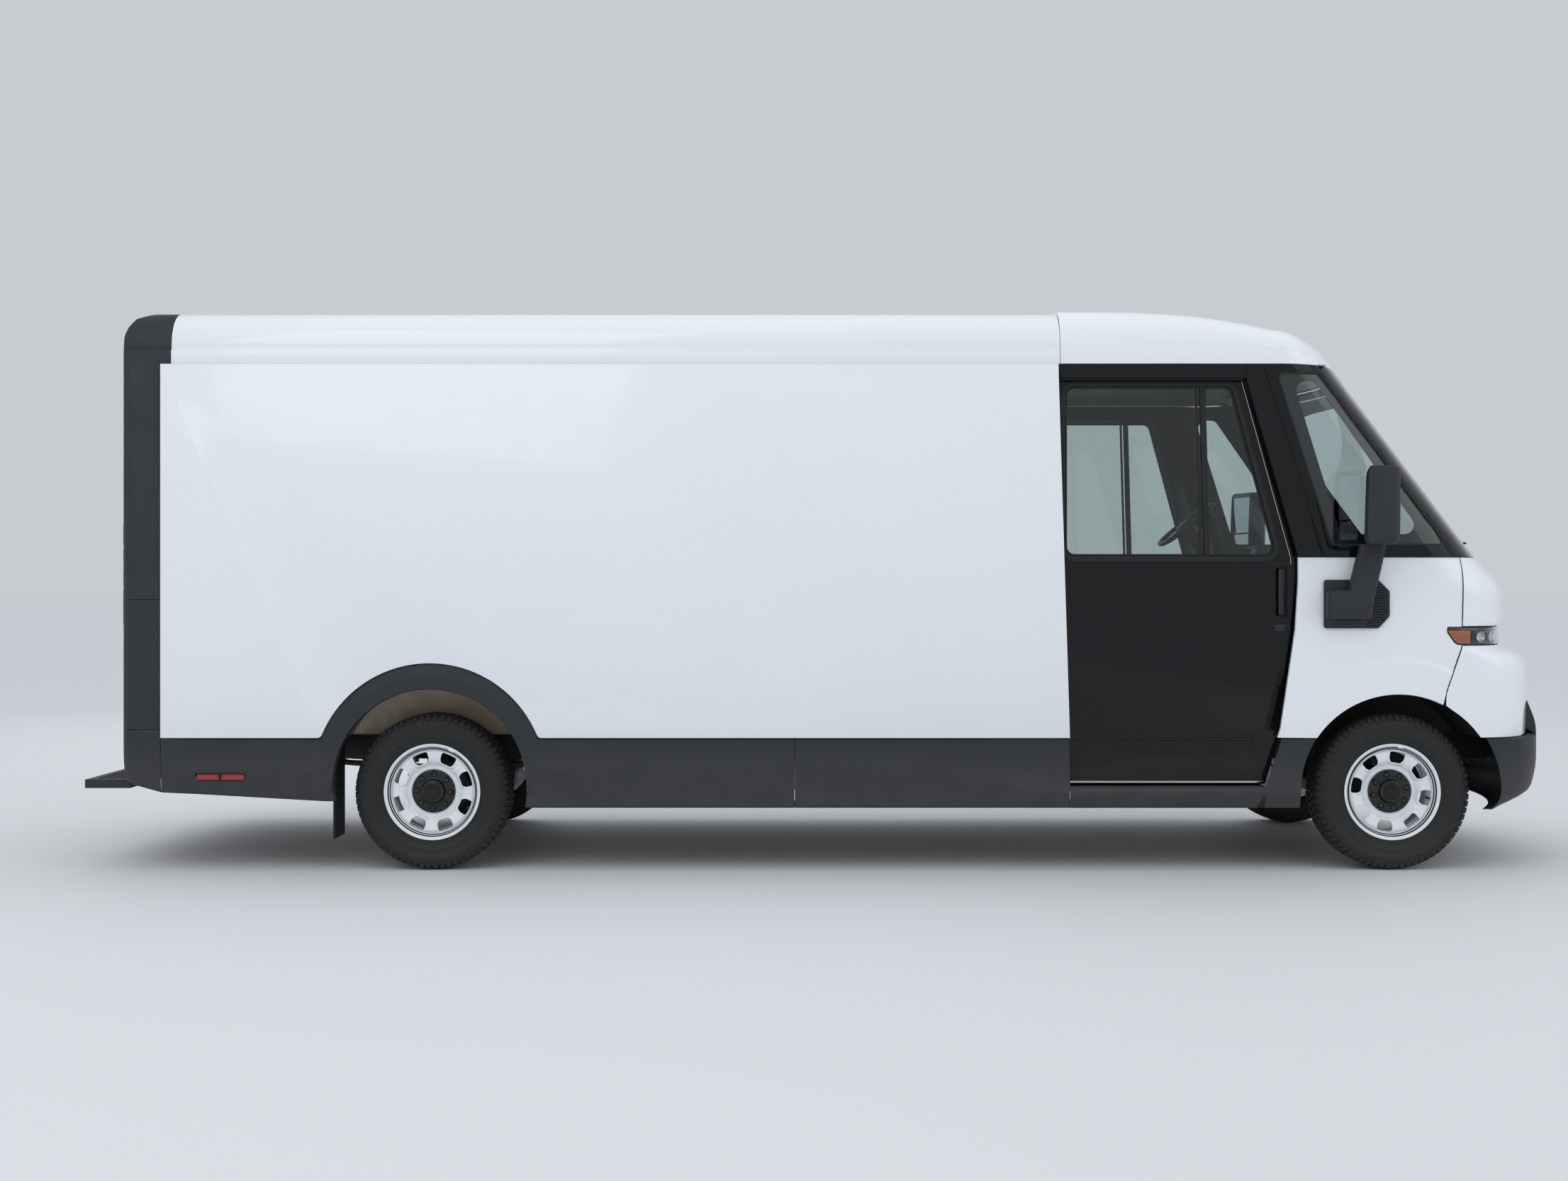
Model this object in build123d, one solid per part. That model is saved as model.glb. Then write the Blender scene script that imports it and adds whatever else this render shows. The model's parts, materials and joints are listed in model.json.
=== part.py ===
from build123d import *
from math import atan2, cos, pi, sin, sqrt
import os

# Electric walk-in delivery van, in millimetres: X forward, Y to the left, Z up.
# Places along X are measured from the rear axle. At export all moves so that X = 0 is mid-length.

# Overall
wheelbase = 4650
rear_reach = 1690           # rear axle to the edge of the rear step
front_reach = 950           # front axle to the front of the lower bumper
half_width = 1100           # centre line to the side panels
front_axle = wheelbase
nose_x = front_axle + front_reach
slide_gap = 0.5             # running clearance of a pin, rail or sill
seat_gap = 0.3              # left where one piece stands beside another
past = 1                    # how far a cutter runs past what it cuts

# Heights above the ground
sill_z = 305
door_bottom_z = 420
crease_z = 490              # crease along the lower cladding
panel_z = 645               # lower edge of the white panels
corner_seam_z = 686
deck_z = 700                # top of the floors
belt_z = 1515               # lower edge of the windscreen frame
roof_z = 2750
shoulder_z = roof_z - 50    # roof rail meets the crown
drip_z = roof_z - 239
seam_z = roof_z - 307       # side panels meet the roof
door_top_z = seam_z - 67

# Load body
body_rear = -1485
panel_rear = -1292
roof_rear = -1240
cab_joint = front_axle - 1620      # load body meets the cab
load_front = cab_joint - 8         # front of the liners and the bulkhead
panel_lean = 56             # how far the front edge of the side panel leans forward at the bottom
side_skin = 25
liner_wall = 38
liner_out_y = half_width - 97
liner_in_y = liner_out_y - liner_wall
floor_wall = 60
cargo_rail_low_z = 1300
cargo_rail_height = 100
cargo_rail_wall = 12
roof_wall = 30
drip_step = 10
rail_width = 150
door_slot_half = half_width - 200  # half width of the rear doorway
door_slot_top = seam_z - 93
rear_face_wall = 85
surround_wall = 40
surround_lip = 15           # the rear face below the doorway stands in by this
valance_low_z = 434
plan_corner = 60
bulkhead_wall = 40

# Lower cladding
clad_in_y = half_width - 43
sill_in_y = half_width - 60
ledge_y = half_width - 80
ledge_z = door_bottom_z - 25
corner_low_z = 381
flare_proud = 4
flare_fillet = 25           # where the flare band runs into the sill
dip_start, dip_end = cab_joint - 676, cab_joint + 15
dip_drop = 106              # how far the crease falls towards the door

# Wheels and arches
tyre_radius = 378
tyre_width = 223
tyre_face = half_width - 60        # centre line to the outer sidewall
wheel_y = tyre_face - tyre_width / 2
axle_z = tyre_radius
rim_radius = 233.5
seat_radius = 212
rim_half = 100
flange_wall = 10
barrel_wall = 8
hub_radius = 90
hub_depth = 45
window_count = 8
wheel_turn = {"rear": 25, "front": 10}           # how far the parked wheels are turned, in degrees
rear_arch = (0, axle_z + 34, 466)                # X, Z and radius of the opening
rear_flare = (0, axle_z + 66, 560)               # outer edge of the flare band
front_arch = (front_axle + 12, axle_z, 475)
house_wall = 12
house_gap = 27              # wheelhouse outside the arch opening
rear_house_in_y = tyre_face - tyre_width - 37
front_house_in_y = tyre_face - tyre_width - 232
front_house_out_y = half_width - 75

# Sliding cab doors
door_out_y = half_width - 50
door_wall = 38
door_travel = 930
door_lap = 15               # how far a door reaches behind the edges of its opening
sill_gap = 8                # opening below the door
glass_wall = 6
window_radius = 40
handle_wall = 14
handle_low_z, handle_top_z = 1225, 1470

# Cab shell
cab_half = half_width - 8
cab_wall = 32
nose_radius = 2000
wind_wrap = 196             # windscreen edge behind the foremost point at each height
wind_top_z = seam_z - 43
wind_low_z = 1560
lamp_low_z, lamp_top_z = 1090, 1180
lamp_in_y = 560
lamp_wall = 60
grille_half = 760
grille_top_z = 800
bumper_wall = 40
bumper_low_z = 285
nose_seam = front_axle + 324
roof_step = 12              # cab roof above the load roof

# Chassis
rail_out_y = front_house_in_y - 5
rail_in_y = rail_out_y - 80
rail_low_z = 500
rail_top_z = deck_z - floor_wall
rail_rear, rail_front = -1400, front_axle + 610
member_width = 60
member_low_z = rail_top_z - 70
pack_low_z = 330
kingpin_y = wheel_y - 108.5
kingpin_radius = 20
pin_half = 62
arm_half = 32
arm_wall = 30
beam_radius = 55
spindle_radius = 30
step_half = half_width - 100
step_top_z = 436
step_wall = 42


def box(x0, x1, y0, y1, z0, z1):
    centre = Pos((x0 + x1) / 2, (y0 + y1) / 2, (z0 + z1) / 2)
    return centre * Box(abs(x1 - x0), abs(y1 - y0), abs(z1 - z0))


def face(points, radius=0):
    if radius:
        return make_face(FilletPolyline(*points, radius=radius, close=True))
    return make_face(Polyline(*points, close=True))


def from_front(points):
    """Points whose X is given from the front axle."""
    return [(front_axle + x, z) for x, z in points]


def across(outline, y0, y1):
    """An outline in X and Z, thick from y0 to y1."""
    plane = Plane(origin=(0, max(y0, y1), 0), x_dir=(1, 0, 0), z_dir=(0, -1, 0))
    return extrude(plane * outline, abs(y1 - y0))


def along(outline, x0, x1):
    """An outline in Y and Z, long from x0 to x1."""
    return extrude(Plane(origin=(x0, 0, 0), x_dir=(0, 1, 0), z_dir=(1, 0, 0)) * outline, x1 - x0)


def upright(outline, z0, z1):
    """An outline in X and Y, tall from z0 to z1."""
    return extrude(Pos(0, 0, z0) * outline, z1 - z0)


def disc(circle, y0, y1, grow=0):
    x, z, radius = circle
    return across(Pos(x, z) * Circle(radius + grow), y0, y1)


def turned(points):
    return revolve(Plane.XZ * face(points), Axis.Z)


def other_side(shape):
    return mirror(shape, about=Plane.XZ)


def both_sides(shape):
    return Compound(children=[*shape.solids(), *other_side(shape).solids()])


# The load body's section: side legs, drip step, roof rail and crown
def body_face(low_z, inset=0):
    side = half_width - inset
    rail_y = half_width - rail_width
    reach = rail_width - drip_step - inset
    rise = shoulder_z - drip_z - inset
    turn = cos(pi / 4)
    foot, drip = (side, low_z), (side, drip_z)
    ledge = (rail_y + reach, drip_z)
    bend = (rail_y + reach * turn, drip_z + rise * turn)
    shoulder = (rail_y, drip_z + rise)

    def flip(point):
        return (-point[0], point[1])

    edges = [
        Polyline(foot, drip, ledge),
        ThreePointArc(ledge, bend, shoulder),
        ThreePointArc(shoulder, (0, roof_z - inset), flip(shoulder)),
        ThreePointArc(flip(shoulder), flip(bend), flip(ledge)),
        Polyline(flip(ledge), flip(drip), flip(foot)),
        Line(flip(foot), foot),
    ]
    return make_face(edges)


# One level outline of the cab: straight sides, corner arcs and the nose arc
def cab_face(x_front, corner, inset):
    side = cab_half - inset
    small = corner - inset
    big = nose_radius - inset
    big_x = x_front - inset - big
    centre_y = side - small
    centre_x = big_x + sqrt((big - small) ** 2 - centre_y ** 2)
    meet = atan2(centre_y, centre_x - big_x)
    middle = (meet + pi / 2) / 2

    def on_corner(angle, sign):
        return (centre_x + small * cos(angle), sign * (centre_y + small * sin(angle)))

    edges = [
        Line((cab_joint, -side), (centre_x, -side)),
        ThreePointArc((centre_x, -side), on_corner(middle, -1), on_corner(meet, -1)),
        ThreePointArc(on_corner(meet, -1), (x_front - inset, 0), on_corner(meet, 1)),
        ThreePointArc(on_corner(meet, 1), on_corner(middle, 1), (centre_x, side)),
        Polyline((centre_x, side), (cab_joint, side), (cab_joint, -side)),
    ]
    return make_face(edges)


# Levels of the cab: height, how far behind nose_x the front is, corner radius
cab_levels = [
    (panel_z, 55, 300),
    (960, 49, 300),
    (1040, 95, 290),
    (1077, 180, 280),
    (lamp_top_z, 188, 280),
    (1205, 171, 280),
    (1335, 171, 280),
    (belt_z, 307, 300),
    (seam_z, 1010, 300),
]
bumper_levels = [
    (bumper_low_z, 200, 290),
    (390, 25, 300),
    (534, 0, 300),
    (panel_z, 0, 300),
]
bumper_face_levels = [
    (panel_z, 0, 300),
    (680, 2, 300),
    (grille_top_z, 44, 300),
]


def stack(levels, inset):
    return loft([Pos(0, 0, z) * cab_face(nose_x - back, corner, inset) for z, back, corner in levels],
                ruled=True)


def shell(levels, wall):
    return stack(levels, 0) - stack(levels, wall)


def level_front(z):
    """How far forward the cab reaches at a height between the belt and the roof seam."""
    (z0, back0, _), (z1, back1, _) = cab_levels[-2:]
    return nose_x - back0 - (back1 - back0) * (z - z0) / (z1 - z0)


nodes = {}

# Doors: the front edge of the opening, from the header down to the sill
door_edge = from_front([(-723, door_top_z), (-473, belt_z), (-473, 1395), (-487, 1166), (-559, 692),
                        (-638, door_bottom_z)])
door_sill_x = door_edge[-1][0]
opening_rear = cab_joint - 40
opening = face([(opening_rear, door_bottom_z - sill_gap), (opening_rear, door_top_z), *door_edge,
                (door_sill_x, door_bottom_z - sill_gap)])
door_cut = across(opening, cab_half - 60, half_width + 20)

# Load floor between the liners, each liner with a cargo rail
house_ring = (rear_arch[0], rear_arch[1], rear_arch[2] + house_gap + house_wall)
floor_cut = sqrt(house_ring[2] ** 2 - (rail_top_z - rear_arch[1]) ** 2)
floor_half = liner_in_y - seat_gap
load_floor = box(body_rear + rear_face_wall, load_front - bulkhead_wall - seat_gap, -floor_half, floor_half,
                 rail_top_z, deck_z)
for sign in (-1, 1):
    load_floor -= box(-floor_cut, floor_cut, sign * rear_house_in_y, sign * liner_in_y, 0, deck_z + past)
nodes["load_floor"] = load_floor

liner = box(body_rear + rear_face_wall, load_front, liner_in_y, liner_out_y, rail_top_z, seam_z)
liner -= disc(house_ring, liner_in_y - past, liner_out_y + past)
liner += box(body_rear + rear_face_wall + 60, load_front - bulkhead_wall - 60, liner_in_y - cargo_rail_wall,
             liner_in_y, cargo_rail_low_z, cargo_rail_low_z + cargo_rail_height)
nodes["load_liners"] = both_sides(liner)

# Side panels: the flare band round the rear arch runs into the sill with a fillet
flare_x, flare_z, flare_radius = rear_flare
flare_reach = flare_radius + 2 * flare_fillet
flare_outline = Pos(flare_x, flare_z) * Circle(flare_radius)
flare_outline += Pos(flare_x, panel_z / 2) * Rectangle(2 * flare_reach, panel_z)
corners = [v for v in flare_outline.vertices() if abs(v.Y - panel_z) < past and abs(v.X) < flare_radius]
flare_outline = fillet(corners, flare_fillet)
panel_outline = face([(panel_rear, panel_z), (panel_rear, seam_z), (load_front, seam_z),
                      (load_front + panel_lean, panel_z)])
panel = across(panel_outline, half_width - side_skin, half_width)
panel -= across(flare_outline, half_width - side_skin - past, half_width + past)
nodes["side_panels"] = both_sides(panel)

nodes["load_roof"] = (along(body_face(seam_z), roof_rear, cab_joint)
                      - along(body_face(seam_z, roof_wall), roof_rear, cab_joint))

# Rear surround: corner posts, roof end cap and the valance under the doorway
rear_profile = face([(body_rear, corner_seam_z), (body_rear, roof_z - 290), (body_rear + 12, roof_z - 190),
                     (body_rear + 30, roof_z - 130), (body_rear + 56, roof_z - 82), (roof_rear, roof_z + 5),
                     (roof_rear, corner_seam_z)])
rear_plan = face([(body_rear, -half_width), (body_rear, half_width), (roof_rear + 200, half_width),
                  (roof_rear + 200, -half_width)], plan_corner)
surround = along(body_face(corner_seam_z), body_rear, roof_rear)
surround &= across(rear_profile, -half_width, half_width)
surround &= upright(rear_plan, corner_seam_z, roof_z + past)
cavity = along(body_face(corner_seam_z, surround_wall), body_rear + rear_face_wall, roof_rear)
cavity &= Pos(0, 0, -surround_wall) * across(rear_profile, -half_width, half_width)
surround -= cavity
surround -= box(body_rear - past, roof_rear, -door_slot_half, door_slot_half, corner_seam_z - past,
                door_slot_top)
surround -= box(panel_rear, roof_rear + past, -half_width, half_width, corner_seam_z - past, seam_z)
face_x = body_rear + surround_lip
surround += box(face_x, body_rear + rear_face_wall, -sill_in_y + past, sill_in_y - past, valance_low_z,
                corner_seam_z)
surround += box(face_x, body_rear + rear_face_wall, -door_slot_half, door_slot_half, corner_seam_z, deck_z)
nodes["rear_surround"] = surround

# Roll-up rear door: a stack of slats with hinge grooves between them
slat_count = 15
slat_height = (door_slot_top - deck_z) / slat_count
slat_x = body_rear + 45
slat_wall = 26
groove = 6
slats = []
for i in range(slat_count):
    low = deck_z + i * slat_height
    slats += [(slat_x + groove, low), (slat_x, low + groove), (slat_x, low + slat_height - groove)]
slats += [(slat_x + groove, door_slot_top), (slat_x + slat_wall, door_slot_top), (slat_x + slat_wall, deck_z)]
nodes["roll_up_door"] = across(face(slats), -door_slot_half, door_slot_half)

# Rear step: a frame with three bays of open grating
step_rim = 40
step_back = -rear_reach
bay_count, hole_columns, hole_rows = 3, 13, 3
bay_width = (2 * step_half - step_rim * (bay_count + 1)) / bay_count
bar = 9
hole_y = (bay_width - bar * (hole_columns - 1)) / hole_columns
hole_x = (face_x - step_back - 2 * step_rim - bar * (hole_rows - 1)) / hole_rows
holes = []
for bay in range(bay_count):
    for column in range(hole_columns):
        for row in range(hole_rows):
            y = -step_half + step_rim + bay * (bay_width + step_rim) + column * (hole_y + bar)
            x = step_back + step_rim + row * (hole_x + bar)
            holes.append(box(x, x + hole_x, y, y + hole_y, 0, step_top_z + past))
nodes["rear_step"] = box(step_back, face_x, -step_half, step_half, step_top_z - step_wall, step_top_z) - holes


# Lower cladding: one sill moulding a side, with the rear corner and the flare round the rear arch
def clad_face(x, drop):
    section = face([(half_width - 15, corner_seam_z), (half_width - 15, panel_z),
                    (half_width, crease_z - drop), (half_width - 3, crease_z - 35 - drop),
                    (half_width - 36, sill_z), (sill_in_y, sill_z), (sill_in_y, ledge_z), (ledge_y, ledge_z),
                    (ledge_y, door_bottom_z - slide_gap), (clad_in_y, door_bottom_z - slide_gap),
                    (clad_in_y, corner_seam_z)])
    return Plane(origin=(x, 0, 0), x_dir=(0, 1, 0), z_dir=(1, 0, 0)) * section


clad_front = front_arch[0]
clad = loft([clad_face(body_rear, 0), clad_face(dip_start, 0), clad_face(dip_end, dip_drop),
             clad_face(clad_front, dip_drop)], ruled=True)
seam_foot = load_front + panel_lean
clad &= across(face([(body_rear, valance_low_z), (body_rear, corner_seam_z), (panel_rear, corner_seam_z),
                     (panel_rear, panel_z), (seam_foot, panel_z), (seam_foot, door_bottom_z - sill_gap),
                     (door_sill_x + sill_gap, door_bottom_z - sill_gap), (front_axle - 552, panel_z),
                     (clad_front, panel_z), (clad_front, sill_z), (300, sill_z), (-496, 336),
                     (panel_rear, corner_low_z)]), ledge_y - past, half_width + past)
clad -= box(body_rear - past, panel_rear, ledge_y - past, half_width + past, 0, corner_seam_z + past)
corner_block = box(body_rear, panel_rear, sill_in_y, half_width, corner_low_z, corner_seam_z)
corner_block &= upright(rear_plan, 0, corner_seam_z)
corner_block &= across(face([(body_rear, valance_low_z), (body_rear, corner_seam_z), (panel_rear, corner_seam_z),
                             (panel_rear, corner_low_z)]), sill_in_y, half_width)
clad += corner_block
flare_out_y = half_width + flare_proud
flare = across(flare_outline, clad_in_y, flare_out_y)
flare &= box(-flare_reach, flare_reach, clad_in_y, flare_out_y, panel_z, flare_z + flare_radius)
flare += disc(rear_flare, clad_in_y, flare_out_y) & box(-flare_reach, flare_reach, clad_in_y, flare_out_y,
                                                        400, panel_z)
clad += flare
clad -= disc(rear_arch, ledge_y - past, flare_out_y + past)
clad -= disc(front_arch, ledge_y - past, flare_out_y + past)
marker = box(-1125, -884, half_width - 20, half_width - 2, 440, 474)
clad -= marker
nodes["lower_cladding"] = both_sides(clad)


# Wheelhouses: half drums closed on the inner side
def wheelhouse(arch, in_y, out_y, low_z):
    x, z, radius = arch
    outer = disc(arch, in_y, out_y, house_gap + house_wall)
    inner = disc(arch, in_y + house_wall, out_y + past, house_gap)
    reach = radius + house_gap + house_wall
    return (outer - inner) & box(x - reach, x + reach, in_y, out_y, low_z, z + reach)


nodes["rear_wheelhouses"] = both_sides(wheelhouse(rear_arch, rear_house_in_y, clad_in_y, rail_top_z))
nodes["front_wheelhouses"] = both_sides(wheelhouse(front_arch, front_house_in_y, front_house_out_y, rail_top_z))

# Cab shell, split where the real panels meet
cab_shell = shell(cab_levels, cab_wall)
upper_levels = cab_levels[-2:]
upper_shell = shell(upper_levels, cab_wall)
cab_glass = shell(upper_levels, glass_wall)
far = nose_x + 100

wind_region = across(face([(level_front(wind_low_z) - wind_wrap, wind_low_z), (far, wind_low_z),
                           (far, wind_top_z), (level_front(wind_top_z) - wind_wrap, wind_top_z)],
                          window_radius), -half_width, half_width)
quarter_low_z = wind_low_z + 14
quarter_outline = face(from_front([(-576, wind_top_z), (-314, quarter_low_z), (250, quarter_low_z),
                                   (-360, wind_top_z)]))
quarter_region = across(quarter_outline, half_width - 200, half_width + past)
nodes["windscreen"] = cab_glass & wind_region
nodes["quarter_glass"] = both_sides(cab_glass & quarter_region)

cab_frame = upper_shell - wind_region - quarter_region - other_side(quarter_region)
cab_frame = cab_frame - door_cut - other_side(door_cut)
nodes["cab_frame"] = cab_frame

fender_outline = face([(front_axle - 473, belt_z), *door_edge[2:5], (front_axle - 572, panel_z),
                       (front_axle + 220, panel_z), (front_axle + 235, 850), (nose_seam - 10, lamp_low_z - 10),
                       (nose_seam, belt_z)])
fender_in_y = half_width - 300
fender = cab_shell & across(fender_outline, fender_in_y, half_width + past)
fender -= disc(front_arch, fender_in_y, half_width + past)
lamp_region = box(front_axle + 281, far, lamp_in_y, half_width, lamp_low_z, lamp_top_z)
fender -= lamp_region
nodes["front_fenders"] = both_sides(fender)

fender_cut = across(fender_outline, -half_width - past, half_width + past)


def nose_part(half, low_z, high_z):
    return (cab_shell & box(front_axle + 150, far, -half, half, low_z, high_z)) - fender_cut


nodes["nose_panel"] = nose_part(half_width, lamp_top_z, belt_z)
nodes["nose_band"] = nose_part(lamp_in_y, lamp_low_z, lamp_top_z)
lamp_shell = stack(cab_levels, glass_wall) - stack(cab_levels, lamp_wall)
nodes["headlamps"] = both_sides(lamp_shell & lamp_region)

bumper = nose_part(half_width, panel_z, lamp_low_z) - disc(front_arch, -half_width, half_width)
grille_x = front_axle + 350
bumper -= box(grille_x, far, -grille_half, grille_half, panel_z - past, grille_top_z)
nodes["front_bumper"] = bumper

low_bumper = shell(bumper_levels, bumper_wall) & box(front_axle + 330, far, -half_width, half_width,
                                                     bumper_low_z, panel_z)
low_bumper += shell(bumper_face_levels, bumper_wall) & box(grille_x, far, -grille_half, grille_half, panel_z,
                                                           grille_top_z)
low_bumper -= disc(front_arch, -half_width, half_width, 20)
slot_half = 480
for low in (425, 475, 525):
    low_bumper -= box(front_axle + 550, far, -slot_half, slot_half, low, low + 30)
nodes["lower_bumper"] = low_bumper

# Cab roof: crown profile, plan outline and the load roof's section, taken together
crown_start, crown_middle, crown_end, brow = from_front([
    (-1350, roof_z + roof_step), (-770, roof_z - 38), (-250, roof_z - 142), (-120, roof_z - 200)])
brow_lead = 6               # the brow's arc ends this far before the roof's outline
seam_front = (level_front(seam_z) + brow_lead, seam_z)
crown = [
    Polyline(seam_front, (cab_joint, seam_z), (cab_joint, roof_z + roof_step), crown_start),
    ThreePointArc(crown_start, crown_middle, crown_end),
    ThreePointArc(crown_end, brow, seam_front),
]


# Cut with the front axle at X = 0, so the cuts are the same at any wheelbase
to_axle = Pos(-front_axle, 0, 0)


def cab_roof_solid(inset):
    plan = upright(cab_face(level_front(seam_z), 300, inset), seam_z, roof_z + 100)
    section = Pos(0, 0, roof_step) * along(body_face(seam_z - roof_step, inset), cab_joint, far)
    profile = Pos(-inset, 0, -inset) * across(make_face(crown), -half_width, half_width)
    solid = (to_axle * plan) & (to_axle * section) & (to_axle * profile)
    return solid & to_axle * box(cab_joint, far, -half_width, half_width, seam_z, roof_z + 100)


cab_roof = cab_roof_solid(0) - Pos(-past, 0, 0) * cab_roof_solid(roof_wall)
nodes["cab_roof"] = Pos(front_axle, 0, 0) * cab_roof

# Bulkhead with a doorway
way_half, way_top_z = 350, door_slot_top - 50
bulkhead_top_z = roof_z - 150
nodes["bulkhead"] = (box(load_front - bulkhead_wall, load_front, -liner_in_y, liner_in_y, rail_top_z,
                         bulkhead_top_z)
                     - box(0, cab_joint, -way_half, way_half, deck_z, way_top_z))

# Cab floor with a step well at each door and the firewall
well_in_y = liner_out_y - 243
well_rear, well_front = cab_joint + 55, front_axle - 645
tray_wall = 12
tray_low_z = ledge_z - tray_wall
narrow_x = front_axle - 510            # the floor narrows between the front wheelhouses
firewall_x = front_axle + 250
firewall_front = firewall_x + 20
firewall_side_z = front_arch[1] + house_gap + front_arch[2] + 25
dash_rear_z = 1500
dash_half = half_width - 100
cab_floor = box(load_front, narrow_x, -liner_out_y, liner_out_y, rail_top_z, deck_z)
cab_floor += box(narrow_x, firewall_front, -front_house_in_y, front_house_in_y, rail_top_z, deck_z)
cab_floor += box(firewall_x, firewall_front, -front_house_in_y, front_house_in_y, deck_z, dash_rear_z)
for sign in (-1, 1):
    well_y = (sign * well_in_y, sign * (liner_out_y + past))
    cab_floor -= box(well_rear, well_front, *well_y, 0, deck_z + past)
    tray = box(well_rear - tray_wall, well_front + tray_wall, sign * (well_in_y - tray_wall),
               sign * liner_out_y, tray_low_z, rail_top_z)
    tray -= box(well_rear, well_front, *well_y, ledge_z, deck_z)
    tray += box(well_rear, well_front, sign * well_in_y, sign * sill_in_y, tray_low_z, ledge_z)
    cab_floor += tray
    cab_floor += box(firewall_x, firewall_front, sign * front_house_in_y, sign * dash_half, firewall_side_z,
                     dash_rear_z)
nodes["cab_floor"] = cab_floor

# Dashboard, steering wheel and seat, the driver on the left
dash_outline = face([*from_front([(-310, 1180), (-350, 1430), (-210, 1540)]), (firewall_x, dash_rear_z),
                     (firewall_x, 1130)], 20)
dash = across(dash_outline, -dash_half, dash_half)
nodes["dashboard"] = dash
driver_y = 450
steer_x, steer_z = front_axle - 690, 1720
steer_tilt = 52
steer_radius = 190
grip = 14
slim = grip * 0.4
ring = turned([(steer_radius - grip, -slim), (steer_radius - grip, slim), (steer_radius - slim, grip),
               (steer_radius + slim, grip), (steer_radius + grip, slim), (steer_radius + grip, -slim),
               (steer_radius + slim, -grip), (steer_radius - slim, -grip)])
steering = ring + Cylinder(45, 40)
for spoke in (0, 120, 240):
    steering += Rot(Z=spoke + 90) * Pos(steer_radius / 2, 0, 0) * Box(steer_radius, 30, 12)
steering += Pos(0, 0, -300) * Cylinder(28, 600)
nodes["steering_wheel"] = Pos(steer_x, driver_y, steer_z) * Rot(Y=steer_tilt - 90) * steering - dash

seat_x = front_axle - 1250             # middle of the seat's pan
seat_half = 250
pan_z = 1190
cushion_z = pan_z + 25
seat_base = box(seat_x - 220, seat_x + 220, driver_y - 190, driver_y + 190, deck_z, deck_z + 60)
seat_base += box(seat_x - 170, seat_x + 170, driver_y - 140, driver_y + 140, deck_z + 60, pan_z)
seat_base += box(seat_x - 250, seat_x + 250, driver_y - seat_half, driver_y + seat_half, pan_z, cushion_z)
nodes["seat_base"] = seat_base
cushion = across(face([(seat_x - 110, cushion_z), (seat_x + 280, cushion_z), (seat_x + 290, cushion_z + 85),
                       (seat_x + 260, cushion_z + 120), (seat_x - 110, cushion_z + 110)], 20),
                 driver_y - seat_half, driver_y + seat_half)
back_z = cushion_z + seat_gap
head_z = back_z + 635
backrest = across(face([(seat_x - 250, back_z), (seat_x - 115, back_z), (seat_x - 130, back_z + 285),
                        (seat_x - 185, head_z), (seat_x - 290, head_z), (seat_x - 305, back_z + 485)], 20),
                  driver_y - seat_half + 15, driver_y + seat_half - 15)
headrest = across(face([(seat_x - 280, head_z + seat_gap), (seat_x - 190, head_z + seat_gap),
                        (seat_x - 200, head_z + 190), (seat_x - 285, head_z + 190)], 25),
                  driver_y - 130, driver_y + 130)
nodes["seat_cushion"] = cushion
nodes["seat_back"] = backrest + headrest

# Mirrors on both fenders: base plate, arm and head
arm_in_y, arm_out_y = cab_half + 12, half_width + 80
head_out_y = half_width + 275
base_plate = across(face(from_front([(-353, 1172), (-353, 1405), (-90, 1405), (-38, 1350), (-38, 1230),
                                     (-90, 1172)])), cab_half, arm_in_y)
arm = box(front_axle - 350, front_axle - 138, arm_in_y, arm_out_y, 1218, 1355)
arm += across(face(from_front([(-250, 1260), (-138, 1218), (-75, 1560), (-75, 1575), (-195, 1575),
                               (-195, 1500)])), arm_in_y + 28, arm_out_y)
head = across(face(from_front([(-232, 1570), (-65, 1570), (-62, 1940), (-220, 1940)]), 18),
              arm_in_y + 26, head_out_y)
mirror_pocket = box(front_axle - 250, front_axle - 222, arm_in_y + 40, head_out_y - 14, 1590, 1920)
nodes["mirrors"] = both_sides(base_plate + arm + head - mirror_pocket)

# Lamps on the rear posts, and the side markers
tail_y = (half_width - 165, half_width - 70)
tail = box(body_rear - 12, body_rear, *tail_y, 1180, 1560)
tail += box(body_rear - 12, body_rear, *tail_y, 1570, 1680)
nodes["rear_lamps"] = both_sides(Compound(children=[*tail.solids(), *marker.solids()]))

# Chassis: two rails with lifting pads, cross members between them and outriggers to the sills
bay_rear, bay_front = 640, front_axle - 550
ladder_bays = 5
bay_x = [bay_rear + (bay_front - bay_rear) / ladder_bays * i for i in range(ladder_bays + 1)]
lift_x = (bay_x[2] + bay_x[3]) / 2
rail = box(rail_rear, rail_front, rail_in_y, rail_out_y, rail_low_z, rail_top_z)
rail += box(lift_x - 100, lift_x + 100, rail_in_y, rail_out_y, rail_low_z - 10, rail_top_z)
nodes["frame_rails"] = both_sides(rail)

rear_member = rail_rear + 150
members = [box(rail_front, rail_front + member_width, -grille_half, grille_half, rail_low_z - 20, rail_top_z)]
for x in (rear_member, -620, *bay_x, rail_front - 80):
    members.append(box(x, x + member_width, -rail_in_y, rail_in_y, member_low_z, rail_top_z))
for x in (rear_member, *bay_x[:2]):
    for sign in (-1, 1):
        members.append(box(x, x + member_width, sign * rail_out_y, sign * clad_in_y, member_low_z, rail_top_z))
nodes["cross_members"] = Compound(children=[part.solid() for part in members])

# Battery pack between the rails
pack = box(bay_rear + 80, bay_front - 120, -(rail_in_y - 8), rail_in_y - 8, pack_low_z, member_low_z)
pack = chamfer(pack.edges().filter_by(Axis.X), 25)
nodes["battery_pack"] = pack

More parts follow.
